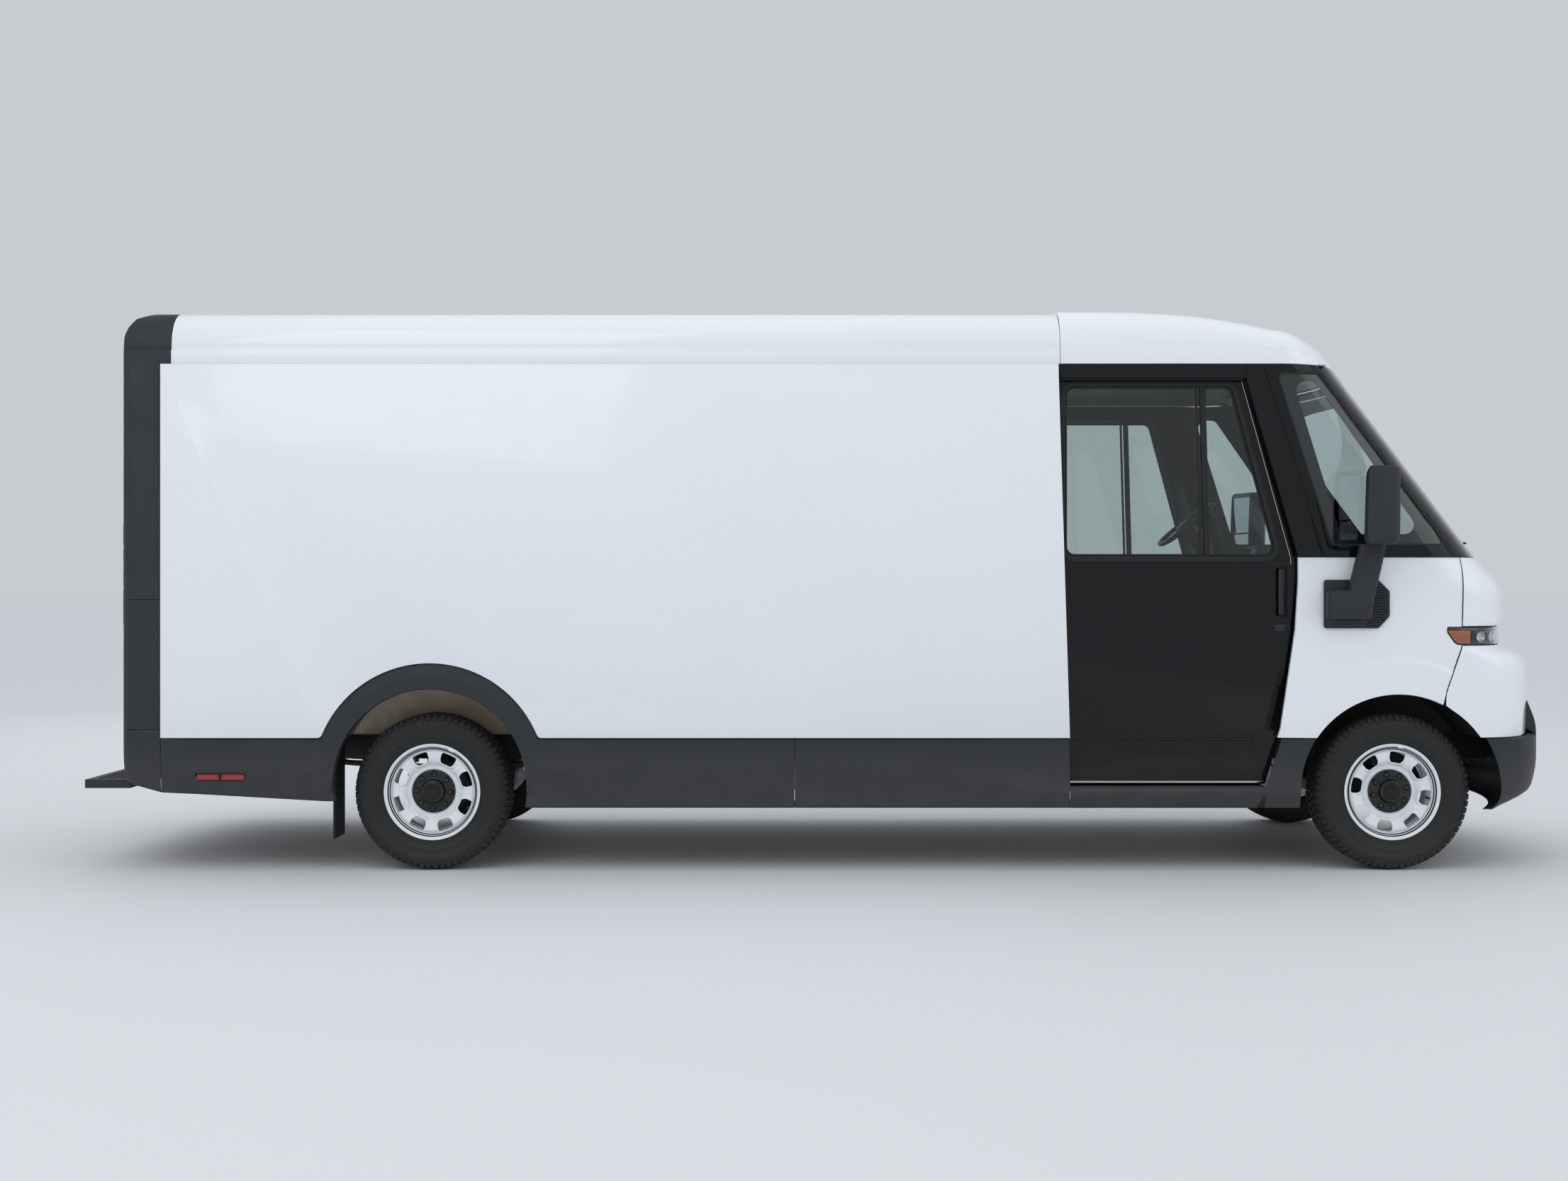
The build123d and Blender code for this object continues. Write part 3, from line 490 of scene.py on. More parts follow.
# Glass with a thin uneven film of dirt, which lets the lamps' light through to what stands behind it
def makeGlass(name, tint, rough, smear):
    material = bpy.data.materials.new(name)
    material.use_nodes = True
    tree = material.node_tree
    shader = tree.nodes["Principled BSDF"]
    place = addNode(tree, "TexCoord").outputs["Object"]
    cloud = addNode(tree, "TexNoise", {"Scale": 1000 / smear, "Detail": 4}, {"Vector": place}).outputs["Fac"]
    film = addNode(tree, "MapRange", {"From Min": 0.35, "From Max": 0.75, "To Min": rough[0],
                                      "To Max": rough[1]}, {"Value": cloud}).outputs["Result"]
    colour = addNode(tree, "MixRGB", {"Color1": linear(tint[0]), "Color2": linear(tint[1])}, {"Fac": cloud})
    tree.links.new(film, shader.inputs["Roughness"])
    tree.links.new(colour.outputs["Color"], shader.inputs["Base Color"])
    shader.inputs["Transmission Weight"].default_value = 1.0
    shader.inputs["IOR"].default_value = 1.45
    clear = addNode(tree, "BsdfTransparent", {"Color": linear(tint[0])})
    ray = addNode(tree, "LightPath")
    both = addNode(tree, "MixShader", None, {0: ray.outputs["Is Shadow Ray"], 1: shader.outputs["BSDF"],
                                             2: clear.outputs["BSDF"]})
    tree.links.new(both.outputs["Shader"], tree.nodes["Material Output"].inputs["Surface"])
    return material


# Woven seat cloth: two crossed sets of threads over a blotched ground
def makeCloth(name, colour, second, thread):
    material = bpy.data.materials.new(name)
    material.use_nodes = True
    tree = material.node_tree
    shader = tree.nodes["Principled BSDF"]
    place = addNode(tree, "TexCoord").outputs["Object"]
    waves = [addNode(tree, "TexWave", {"bands_direction": way, "Scale": 1000 / thread / waveWidth,
                                       "Distortion": 0.6, "Detail": 1.0}, {"Vector": place}).outputs["Fac"]
             for way in "XYZ"]
    first = addNode(tree, "Math", {"operation": "MULTIPLY"}, {0: waves[0], 1: waves[1]}).outputs["Value"]
    weave = addNode(tree, "Math", {"operation": "ADD"}, {0: first, 1: waves[2]}).outputs["Value"]
    cloud = addNode(tree, "TexNoise", {"Scale": 14, "Detail": 5}, {"Vector": place}).outputs["Fac"]
    shade = addNode(tree, "Math", {"operation": "MULTIPLY"}, {0: weave, 1: cloud}).outputs["Value"]
    tone = addNode(tree, "MixRGB", {"Color1": linear(colour), "Color2": linear(second)}, {"Fac": shade})
    bump = addNode(tree, "Bump", {"Strength": 0.7, "Distance": 0.0006}, {"Height": weave})
    tree.links.new(tone.outputs["Color"], shader.inputs["Base Color"])
    tree.links.new(bump.outputs["Normal"], shader.inputs["Normal"])
    shader.inputs["Roughness"].default_value = 0.9
    shader.inputs["Sheen Weight"].default_value = 0.3
    return material


finishes = {name: makeFinish(name, look) for name, look in looks.items()}
# float glass in two layers: clear, with a faint green in its depth
finishes["laminatedGlass"] = makeGlass("laminatedGlass", ("#DCE6E4", "#D3DEDC"), (0.0, 0.035), 260)
# moulded polycarbonate with a hard coat: water clear, a little softer in its reflections
finishes["clearPolycarbonate"] = makeGlass("clearPolycarbonate", ("#F4F6F7", "#EDF0F1"), (0.0, 0.03), 90)
# flat woven polyester, its 1 mm threads drawn 5 mm wide so that they show: dark with a dry sheen
finishes["wovenSeatCloth"] = makeCloth("wovenSeatCloth", "#1E2024", "#3A3D43", 5)
print("finishes made:", len(finishes))

# Solids whose shape is right: a merged copy with eased edges stands for each, with its finish and bevel
solids = {
    "load_floor": ("rolledAluminium", 1.5), "load_liners": ("linerBoard", 1.5),
    "side_panels": ("whiteEnamel", 2), "load_roof": ("whiteEnamel", 2),
    "roll_up_door": ("whiteDoorEnamel", 1.5), "rear_step": ("dippedSteel", 1.5),
    "rear_wheelhouses": ("galvanisedSteel", 2), "front_wheelhouses": ("mouldedRubber", 2),
    "bulkhead": ("linerBoard", 2), "cab_floor": ("studdedRubber", 2), "dashboard": ("cabPlastic", 5),
    "seat_base": ("dippedSteel", 3), "frame_rails": ("dippedSteel", 3), "cross_members": ("dippedSteel", 3),
    "battery_pack": ("rolledAluminium", 4), "rear_axle": ("dippedSteel", 2),
    "rear_springs": ("dippedSteel", 2),
    "front_suspension": ("dippedSteel", 2), "mud_flaps": ("mouldedRubber", 1.5),
    "knuckle_left": ("dippedSteel", 2), "knuckle_right": ("dippedSteel", 2),
}

bodyOf = {node: body for body, nodes in frame["record"]["behaviour"]["bodies"].items() for node in nodes}


def eased(node, finish, bevel):
    piece = copyOf(frame["nodes"][node], node + "Eased")
    only(piece)
    bpy.ops.mesh.customdata_custom_splitnormals_clear()
    editAll(piece)
    bpy.ops.mesh.remove_doubles(threshold=0.00002)
    bpy.ops.mesh.dissolve_limited(angle_limit=radians(0.6), use_dissolve_boundaries=False)
    bpy.ops.object.mode_set(mode="OBJECT")
    smoothed(bevelled(piece, bevel), 30)
    return rides(piece, bodyOf[node], finish, (node,))


# Wheels, made once for the left side and copied

wheel = {
    "centreY": 928.5, "tyreRadius": 378, "grooveDepth": 9, "pitches": 68,
    "windows": 8, "windowInner": 141, "windowOuter": 192, "windowCorner": 10, "discWall": 5,
    "lip": 2.6, "channel": 3.4, "lugs": 8, "lugCircle": 82, "turn": {"rear": 25, "front": 10},
}
wheelY = wheel["centreY"]
wheelCentre = (0, wheelY, 0)


# A cube whose corners are moved by a function of its place from 0 to 1 along, across and up
def shapedCube(place):
    only()
    bpy.ops.mesh.primitive_cube_add(size=1)
    piece = bpy.context.object
    for vertex in piece.data.vertices:
        angle, y, radius = place(*(vertex.co + Vector((0.5, 0.5, 0.5))))
        vertex.co = at(radius * sin(angle), wheelY + y, radius * cos(angle))
    return piece


def makeTyre():
    crown = wheel["tyreRadius"] - wheel["grooveDepth"]
    half = [(212, 78), (213, 90), (226, 93), (237, 95), (241, 97.5), (244, 102), (248, 102.5), (251, 101),
            (262, 106), (274, 109.3), (276, 110.6), (279, 110.6), (281, 109.8), (300, 111), (318, 110.4),
            (320, 111.4), (324, 111.2), (326, 109.6), (340, 107), (349, 103.5), (356, 99), (362, 92),
            (crown - 3, 82), (crown, 70)]
    inner = [(205, 78), (205, -78)]
    tread = [(crown, 35), (crown, 0), (crown, -35)]
    profile = half + tread + [(r, -y) for r, y in reversed(half)] + inner[::-1]
    carcass = spun("carcass", profile, wheelCentre, 136)
    step = 2 * pi / wheel["pitches"]
    blocks = []
    # across the tread: edges, length in pitches, offset and lean
    rows = [(-14, 14, 0.70, 0.0, 0.18), (20, 50, 0.74, 0.5, -0.22), (-50, -20, 0.74, 0.1, -0.22),
            (56, 84, 0.72, 0.85, 0.1), (-84, -56, 0.72, 0.4, 0.1)]
    for low, high, length, offset, lean in rows:
        def blockPlace(u, v, w):
            y = mix(low, high, v)
            taper = 0.94 if w > 0.5 else 1.0
            angle = step * (offset + (u - 0.5) * length * taper + lean * (v - 0.5))
            return angle, y, mix(crown - 2, wheel["tyreRadius"] - max(0, abs(y) - 40) ** 2 * 0.0024, w)

        blocks.append(bevelled(shapedCube(blockPlace), 1.2, 1))
    for sign in (-1, 1):           # shoulder lugs run down the sidewall, long and short by turns
        for odd in (0, 1):
            def lugPlace(u, v, w):
                width = (0.72 if w > 0.5 else 0.8) * mix(1, 0.8, v)
                angle = step * (odd + 0.25 + (0.5 if sign > 0 else 0) + (u - 0.5) * width)
                if v < 0.5:
                    return angle, sign * 84, mix(crown - 8, wheel["tyreRadius"] - 4.2, w)
                foot = 338 if odd else 348
                return (angle, sign * 102, foot) if w < 0.5 else (angle, sign * 110.5, foot + 3)

            piece = shapedCube(lugPlace)
            applied(piece, "SUBSURF", levels=1, render_levels=1, subdivision_type="SIMPLE")
            for vertex in piece.data.vertices:     # the lug bulges round the shoulder
                spot = vertex.co - at(*wheelCentre)
                radius, y = hypot(spot.x, spot.z), abs(spot.y)
                share = (y - 0.084) / 0.0265
                if 0.2 < share < 0.8 and radius > 0.355:
                    grow = 1 + 0.0045 / radius
                    vertex.co = at(*wheelCentre) + Vector((spot.x * grow, spot.y * 1.03, spot.z * grow))
            blocks.append(bevelled(piece, 1.0, 1, 40))
    rings = []
    for i, piece in enumerate(blocks):
        outwards(piece)
        rings.append(ringOf(piece, wheel["pitches"] // (1 if i < len(rows) else 2), wheelCentre))
    return smoothed(joined("tyre", carcass, *rings), 32)


def windowOutline():
    low, high = wheel["windowInner"], wheel["windowOuter"]
    return rounded([(low, -24), (low, 24), (158, 35), (high, 39), (high + 3, 0, 0), (high, -39), (158, -35)],
                   wheel["windowCorner"], 5)


# How far a point is from a closed outline: less than nothing inside it
def outlineDistance(point, outline):
    inside, nearest = False, 1e9
    x, y = point
    for i in range(len(outline)):
        (ax, ay), (bx, by) = outline[i - 1], outline[i]
        dx, dy = bx - ax, by - ay
        t = min(max(((x - ax) * dx + (y - ay) * dy) / (dx * dx + dy * dy + 1e-12), 0), 1)
        nearest = min(nearest, hypot(x - ax - t * dx, y - ay - t * dy))
        if (ay > y) != (by > y) and x < ax + (y - ay) * dx / dy:
            inside = not inside
    return -nearest if inside else nearest


def makeRim():
    outline = windowOutline()
    # the disc's section: radius and how far it stands out
    discLine = [(96, 44.5), (112, 45), (122, 47), (136, 58), (150, 67), (166, 71), (186, 74.5), (196, 72),
                (203, 63), (206, 52)]

    def discPlace(u, v):
        radius = mix(96, 206, u)
        angle = (v - 0.5) * 2 * pi / wheel["windows"]
        gap = outlineDistance((radius * cos(angle), radius * sin(angle)), outline)
        inwards = 1 - ease((radius - 140) / 40)
        height = along(discLine, radius)
        height += wheel["lip"] * exp(-((gap - 5) / 3.6) ** 2)
        height -= wheel["channel"] * exp(-((gap - 17) / 6) ** 2) * inwards
        return radius * cos(angle), wheelY + height, radius * sin(angle)

    sector = skin("rimDisc", 44, 26, discPlace)
    disc = ringOf(sector, wheel["windows"], wheelCentre)
    outwards(disc, 0.0002)
    facing(disc, (0, 1, 0))
    disc = applied(disc, "SOLIDIFY", thickness=wheel["discWall"] / 1000, offset=-1)
    cutters = []
    for i in range(wheel["windows"]):
        turned = turnedBy(outline, 2 * pi * i / wheel["windows"])
        cutters.append(sidePlate("cutter", turned, wheelY + 20, wheelY + 100))
    disc = cut(disc, joined("cutters", *cutters))
    smoothed(disc, 40)
    section = [(203, -99), (232, -100), (233.5, -97), (232.5, -91), (213, -90), (211, -80), (206, -60),
               (196, -30), (196, 20), (204, 44), (211, 70), (213, 88), (231, 90), (233.5, 93), (233.5, 98),
               (231, 100), (226, 99), (219, 93), (212, 83), (209, 76), (206, 74), (201, 70), (201, 55),
               (191, 20), (191, -30), (201, -62)]
    barrel = smoothed(spun("rimBarrel", section, wheelCentre, 144), 30)
    hub = spun("rimHub", [(30.5, -45), (90, -45), (90, 45), (30.5, 45)], wheelCentre, 48)
    smoothed(bevelled(hub, 2), 35)
    clip = block("balanceClip", (-14, 14), (wheelY + 97, wheelY + 99.6), (216, 226), 1)
    return joined("rim", disc, barrel, hub, clip)


def makeValve():
    stem = spun("valve", [(0, 40), (5, 40), (5, 70), (3.6, 74), (3.6, 84), (4.4, 85), (4.4, 92), (0, 93)],
                wheelCentre, 16)
    stem.data.transform(Matrix.Translation(Vector((0.184, 0, 0))))          # out near the flange
    return smoothed(stem, 40)


# A round or sided bar along the axle
def axialBar(sides, radius, length, place, twist=0):
    only()
    bpy.ops.mesh.primitive_cylinder_add(vertices=sides, radius=radius / 1000, depth=length / 1000,
                                        location=at(*place), rotation=(pi / 2, twist, 0))
    bpy.ops.object.transform_apply(location=True, rotation=True, scale=True)
    return bpy.context.object


def makeHubCap():
    cap = spun("cap", [(0, 46), (105, 46), (106, 50), (105, 54), (101, 57), (96, 58), (68, 60), (61, 62),
                       (58, 66), (56, 76), (53, 82), (47, 85), (42, 85), (0, 86)], wheelCentre, 96)
    lugAngles = [2 * pi * (i + 0.5) / wheel["lugs"] for i in range(wheel["lugs"])]
    lugPlaces = [(wheel["lugCircle"] * cos(a), wheel["lugCircle"] * sin(a)) for a in lugAngles]
    pockets = []
    for a, (x, z) in zip(lugAngles, lugPlaces):
        pockets.append(axialBar(28, 14.5, 30, (x, wheelY + 64, z)))
        mouth = turnedBy([(94, -9), (112, -11), (112, 11), (94, 9)], a)      # each opens towards the rim
        pockets.append(sidePlate("pocketMouth", mouth, wheelY + 52, wheelY + 80))
    cut(cap, *pockets)
    smoothed(bevelled(cap, 1.2, 2, 40), 35)
    nuts = []
    for i, (x, z) in enumerate(lugPlaces):
        nut = bevelled(axialBar(6, 10.5, 14, (x, wheelY + 53, z), 0.3 * i), 0.8)
        ring = spun("nutSeat", [(9.2, 59), (10.6, 59), (10.6, 61.5), (9.2, 61.5)], wheelCentre, 24)
        ring.data.transform(Matrix.Translation(at(x, 0, z) - at(0, 0, 0)))
        nuts += [nut, ring]
    dome = spun("capDome", [(0, 87.4), (30, 86.8), (41, 85.4), (43.5, 84), (43.5, 83), (0, 83)],
                wheelCentre, 64)
    smoothed(dome, 40)
    return cap, joined("lugNuts", *nuts), dome


def placeWheels():
    tyre, rim, valve = makeTyre(), makeRim(), makeValve()
    cap, nuts, dome = makeHubCap()
    # name of the copies, model, finish, slot and the node it stands for
    pieces = [("tyre", tyre, "tyreRubber", "tyre_rubber", "tyre"),
              ("rim", rim, "rimPowderCoat", "rim_paint", "rim"),
              ("valve", valve, "mouldedRubber", "tyre_rubber", ""),
              ("hubCap", cap, "capPlastic", "cap_plastic", "hub_cap"),
              ("lugNuts", nuts, "dippedSteel", "cap_plastic", ""),
              ("capDome", dome, "glossAcrylic", "cap_plastic", "")]
    home = Matrix.Translation(-at(0, 0, 0))
    for end, x in (("rear", 0), ("front", frontAxle)):
        spin = Matrix.Rotation(radians(wheel["turn"][end]), 4, "Y")
        place = Matrix.Translation(at(x, 0, van["axleZ"]) - at(0, 0, 0)) @ home.inverted() @ spin @ home
        for side, flip in (("left", Matrix()), ("right", Matrix.Scale(-1, 4, (0, 1, 0)))):
            for name, piece, finish, slot, node in pieces:
                twin = copyOf(piece, f"{name}{end.title()}{side.title()}", flip @ place)
                nodes = (f"{node}_{end}_{side}",) if node else ()
                rides(twin, f"wheel_{end}_{side}", finish, nodes)
    for row in pieces:
        bpy.data.objects.remove(row[1])


placeWheels()
print("wheels made")


# Lower cladding: one band that runs along the sill, over the rear arch and on to the door

cladding = {
    "topZ": 645, "creaseZ": 490, "wall": 4, "gap": 1.5, "seamX": 1755, "rearX": -1292, "frontX": 3078,
    "dipStart": 2354, "dipEnd": 3045, "dipDrop": 106,          # the crease sinks towards the door
    "flareZ": 444, "flareRadius": 560, "creaseRadius": 500, "archZ": 412, "archRadius": 466,
    "outerFillet": 25, "creaseFillet": 75, "straightFrom": 700,
    "sillZ": 305, "slopeX": -496, "slopeZ": 336, "slope": 45 / 796,          # the tail rises to the rear
    "frontArch": (4662, 378, 475),          # X, Z and radius
    # how far out the outer edge, the crease and the lower edge stand
    "flareY": (1090, 1104, 1100), "sillY": (1085, 1101.5, 1064), "rearY": (1098.5, 1100, 1080),
}


def bottomAt(x):
    if x > 0:
        return cladding["sillZ"]
    return cladding["slopeZ"] + max(0, cladding["slopeX"] - x) * cladding["slope"]


# Where the outer edge, the crease and the lower edge run: 0 at the top of the arch, 1 down its flank,
# 2 past the corner, 3 out on the sill
def bandAt(p, sign):
    def edge(lineZ, radius, fillet):
        rise = lineZ + fillet - cladding["flareZ"]
        cx = sqrt((radius + fillet) ** 2 - rise ** 2)
        turn = atan2(rise, cx)
        if p <= 1:
            a = mix(pi / 2, turn, p)
            return radius * cos(a), cladding["flareZ"] + radius * sin(a)
        if p <= 2:
            a = pi + mix(turn, pi / 2, p - 1)
            return cx + fillet * cos(a), lineZ + fillet + fillet * sin(a)
        return mix(cx, cladding["straightFrom"], p - 2), lineZ

    low = bottomAt(sign * cladding["archRadius"])
    corner = atan2(low - cladding["archZ"], cladding["archRadius"])
    if p <= 2:
        a = mix(pi / 2, 0, p) if p <= 1 else mix(0, corner, p - 1)
        inner = (cladding["archRadius"] * cos(a), cladding["archZ"] + cladding["archRadius"] * sin(a))
    else:
        x = mix(cladding["archRadius"] * cos(corner), cladding["straightFrom"], p - 2)
        inner = (x, bottomAt(sign * x))
    ys = [mix(a, b, ease(p - 1)) for a, b in zip(cladding["flareY"], cladding["sillY"])]
    outer = edge(cladding["topZ"] - cladding["gap"], cladding["flareRadius"] - cladding["gap"],
                 cladding["outerFillet"])
    crease = edge(cladding["creaseZ"], cladding["creaseRadius"], cladding["creaseFillet"])
    return [(sign * x, z) for x, z in (outer, crease, inner)], ys


def sillAt(x):
    start, end = cladding["dipStart"], cladding["dipEnd"]
    drop = cladding["dipDrop"] * ease((x - start) / (end - start))
    share = ease((x - cladding["rearX"]) / 190)
    ys = [mix(a, b, share) for a, b in zip(cladding["rearY"], cladding["sillY"])]
    return [(x, cladding["topZ"] - cladding["gap"]), (x, cladding["creaseZ"] - drop), (x, bottomAt(x))], ys


def bandSection(edges, ys):
    outer, crease, inner = edges
    high, ridge, low = ys

    def spot(share, y):
        end = outer if share < 0 else inner
        return mix(crease[0], end[0], abs(share)), y, mix(crease[1], end[1], abs(share))

    above = hypot(crease[0] - outer[0], crease[1] - outer[1])
    below = hypot(crease[0] - inner[0], crease[1] - inner[1])
    rows = [spot(-1, high - 24), spot(-1, high - 1.5), spot(-1 + 1.5 / above, high)]
    rows += [spot(-s, mix(ridge, high, s)) for s in (0.8, 0.6, 0.4, 0.22, 9 / above, 3.5 / above)]
    rows.append(spot(0, ridge - 0.35))
    rows += [spot(s, ridge - (ridge - low) * (0.45 * s + 0.55 * s * s))
             for s in (3.5 / below, 9 / below, 0.3, 0.45, 0.6, 0.75, 0.88, 1 - 4 / below)]
    rows += [spot(1 - 1.2 / below, low - 2), spot(1, low - 6), spot(1, low - 44)]
    return rows + [spot(1 - 32 / below, low - 46)]


# A wall through given sections that faces the left side
def sheet(name, sections, wall):
    piece = facing(gridSkin(name, sections), (0, 1, 0))
    return applied(piece, "SOLIDIFY", thickness=wall / 1000, offset=-1, use_even_offset=False)


def makeCladding():
    stations = [sillAt(x) for x in (-1290, -1265, -1240, -1215, -1190, -1165, -1140, -1115, -1000, -850)]
    steps = [3 - i / 5 for i in range(5)] + [2 - i / 9 for i in range(9)] + [1 - i / 22 for i in range(22)]
    stations += [bandAt(p, -1) for p in steps] + [bandAt(0, 1)] + [bandAt(p, 1) for p in reversed(steps)]
    stations += [sillAt(x) for x in (850, 1200, 1600, 2000, 2300)]
    stations += [sillAt(mix(cladding["dipStart"], cladding["dipEnd"], i / 22)) for i in range(23)]
    stations.append(sillAt(cladding["frontX"] - 1))
    band = sheet("claddingBand", [bandSection(*station) for station in stations], cladding["wall"])
    seam = cladding["seamX"]
    cuts = [block("seam", (seam - 1.2, seam + 1.2), (1030, 1120), (280, 660), 0)]
    marker = rounded([(-1130, 478), (-880, 478), (-884, 452), (-892, 436), (-1112, 436)], 9)
    cuts.append(sidePlate("markerHole", marker, 1085, 1120))
    cut(band, *cuts, solver="FAST")
    outwards(band, 0.00005)
    smoothed(bothSides(band), 40)

    # the sill under the sliding door, with the ledge its foot slides over: Y and Z
    section = [(1020, 396), (1020, 411.5), (1056, 411.5), (1084, 411.5), (1090, 410), (1093, 406),
               (1099, 388), (1099.6, 384), (1099, 380), (1096, 366), (1088, 343), (1076, 320), (1067, 309),
               (1060, 305), (1036, 305), (1034, 345)]
    doorSill = [[(x, y, z) for y, z in section] for x in spread(cladding["frontX"] + 1, 4019, 12)]
    sill = smoothed(bothSides(sheet("doorSill", doorSill, cladding["wall"])), 40)

    ax, az, radius = cladding["frontArch"]
    front = []
    section = [(643.5, 1061), (643.5, 1083.5), (642, 1085), (590, 1088.4), (540, 1091.6), (490, 1094.8),
               (440, 1098), (400, 1100), (388, 1100.4), (384, 1100.2), (380, 1099.6), (366, 1096),
               (343, 1088), (320, 1076), (309, 1067), (305, 1060), (305, 1036), (340, 1034)]
    for i in range(15):          # between the door and the front arch, with a flange turned in at the arch
        column = []
        for z, y in section:
            rear = 4021 + (z - 412) * 78 / 233
            arch = ax - sqrt((radius + 2) ** 2 - (z - az) ** 2)
            share = min(i / 12, 1)
            x = mix(rear, arch, share)
            inwards = 0 if i < 12 else (3, 9, 42)[i - 12]
            column.append((x + (1.5 if i == 12 else 2.5 if i > 12 else 0), y - inwards, z))
        front.append(column)
    nose = smoothed(bothSides(sheet("claddingFront", front, cladding["wall"])), 40)

    corner = []        # the rear corner is round in plan, with a sloped foot
    path = [(-1292.5, 1100, 0, 1), (-1320, 1100, 0, 1), (-1360, 1100, 0, 1), (-1400, 1100, 0, 1)]
    for i in range(10):
        a = pi / 2 * i / 9
        path.append((-1425 - 60 * sin(a), 1040 + 60 * cos(a), -sin(a), cos(a)))
    for x, y, nx, ny in path:
        low = mix(381, 434, (-1292 - x) / 193)
        column = []
        for share, inwards in ((-0.004, 24), (-0.004, 1.5), (0, 0), (0.2, 0), (0.4, 0.2), (0.6, 1.2),
                               (0.75, 4), (0.86, 9), (0.94, 15), (0.985, 21), (1, 26), (1, 55)):
            z = mix(683.5, low, share)
            column.append((x - nx * inwards, y - ny * inwards, z))
        corner.append(column)
    rearCorner = smoothed(bothSides(sheet("rearCorner", corner, cladding["wall"])), 40)
    whole = joined("lowerCladding", band, sill, nose, rearCorner)
    rides(whole, "root", "grainedPolypropylene", ("lower_cladding",))


makeCladding()
print("lower cladding made")


# Cab shell: level outlines stacked with smooth slopes between them, one skin for each real panel

cab = {
    "noseX": 5600, "noseRadius": 2000, "half": 1092, "wall": 3, "frontArch": (4662, 378, 475), "lampX": 4890,
    # height, how far the front stands behind noseX, corner radius
    "levels": [(285, 200, 290), (390, 25, 300), (534, 0, 300), (640, 0, 300), (645, 55, 300), (960, 49, 300),
               (1025, 74, 292), (1062, 140, 284), (1080, 181, 280), (1180, 188, 280), (1205, 172, 280),
               (1335, 171, 280), (1515, 307, 300), (2443, 1010, 300)],
    # the same for the lower bumper, which goes on upwards behind the white one
    "lowLevels": [(285, 200, 290), (390, 25, 300), (534, 0, 300), (640, 0, 300), (680, 2, 300),
                  (720, 12, 300), (800, 44, 300)],
    # the seam between nose and fender: height and place
    "seam": [(850, 4885), (1080, 4964), (1515, 4974)],
    # the crease round the front arch: angle, distance from its centre and how far the arch stands out
    "flare": [(29, 593), (80, 640), (103, 640), (127, 572), (146, 540)], "flareStep": 7,
}


whiteLevels = [row for row in cab["levels"] if row[0] > 640]
glassLevels = cab["levels"][-2:]


def noseAt(z, levels):
    return cab["noseX"] - along(levels, z, 1), along(levels, z, 2)


# How far forward the windscreen reaches in the middle
def screenX(z):
    (low, foot, _), (high, head, _) = glassLevels
    return cab["noseX"] - foot - (head - foot) * (z - low) / (high - low)


# A point of the level outline, from where it starts on the side (0) to the tip of the nose (1)
def planAt(front, corner, start, share, inset=0):
    side, small, big = cab["half"] - inset, corner - inset, cab["noseRadius"] - inset
    bigX = front - inset - big
    cy = side - small
    cx = bigX + sqrt((big - small) ** 2 - cy ** 2)
    meet = atan2(cy, cx - bigX)
    first = pi / 2 if start < cx else acos(min((start - cx) / small, 1))
    straight = max(0, cx - start)
    bend, nose = small * (first - meet), big * meet
    way = share * (straight + bend + nose)
    if way < straight:
        return start + way, side, 0, 1
    if way < straight + bend:
        a = first - (way - straight) / small
        return cx + small * cos(a), cy + small * sin(a), cos(a), sin(a)
    a = meet - (way - straight - bend) / big
    return bigX + big * cos(a), big * sin(a), cos(a), sin(a)


# A wall from one side round the nose to the other, between two heights, with its edges turned in
def cabSkin(name, heights, startOf, columns, levels, wall, inset=0, turned=0):
    sections = []
    for i in range(columns + 1):
        t = 2 * i / columns - 1
        column = []
        for k, z in enumerate(heights):
            front, corner = noseAt(z, levels)
            x, y, nx, ny = planAt(front, corner, startOf(z), 1 - abs(t), inset)
            sign = 1 if t <= 0 else -1
            back = turned if k in (0, len(heights) - 1) else 0
            column.append((x - nx * back, sign * (y - ny * back), z))
        sections.append(column)
    piece = facing(gridSkin(name, sections), (1, 0, 0))
    return applied(piece, "SOLIDIFY", thickness=wall / 1000, offset=-1, use_even_offset=False)


def seamAt(z):
    (z0, x0), (z1, x1), (z2, x2) = cab["seam"]
    if z < z0:
        return x0
    return x0 + (z - z0) * (x1 - x0) / (z1 - z0) if z < z1 else x1 + (z - z1) * (x2 - x1) / (z2 - z1)


# The cab's side at a place, straight and then round the corner
def sideY(x, z):
    front, corner = noseAt(z, cab["levels"])
    cy = cab["half"] - corner
    bigX = front - cab["noseRadius"]
    cx = bigX + sqrt((cab["noseRadius"] - corner) ** 2 - cy ** 2)
    return cab["half"] if x < cx else cy + sqrt(max(corner ** 2 - (x - cx) ** 2, 0))


def flareAt(x, z):
    ax, az, _ = cab["frontArch"]
    angle = degrees(atan2(z - az, x - ax))
    return angle, hypot(x - ax, z - az), along(cab["flare"], angle)


# The lamp runs back into the fender, with a slanted end; grow in mm
def lampPrism(grow, y0, y1):
    return sidePlate("lampPrism", rounded([
        (4896 - grow, 1177 + grow, 8), (4896 - grow, 1150, 22), (4938 - grow, 1093 - grow, 40),
        (5700, 1093 - grow, 0), (5700, 1177 + grow, 0)], 0, 8), y0, y1)


# The panel stands in a little beyond the soft crease round the arch
def fenderY(x, z):
    angle, r, edge = flareAt(x, z)
    fade = 1 - ease((angle - 118) / 24)
    return sideY(x, z) - cab["flareStep"] * ease((r - edge + 16) / 34) * fade


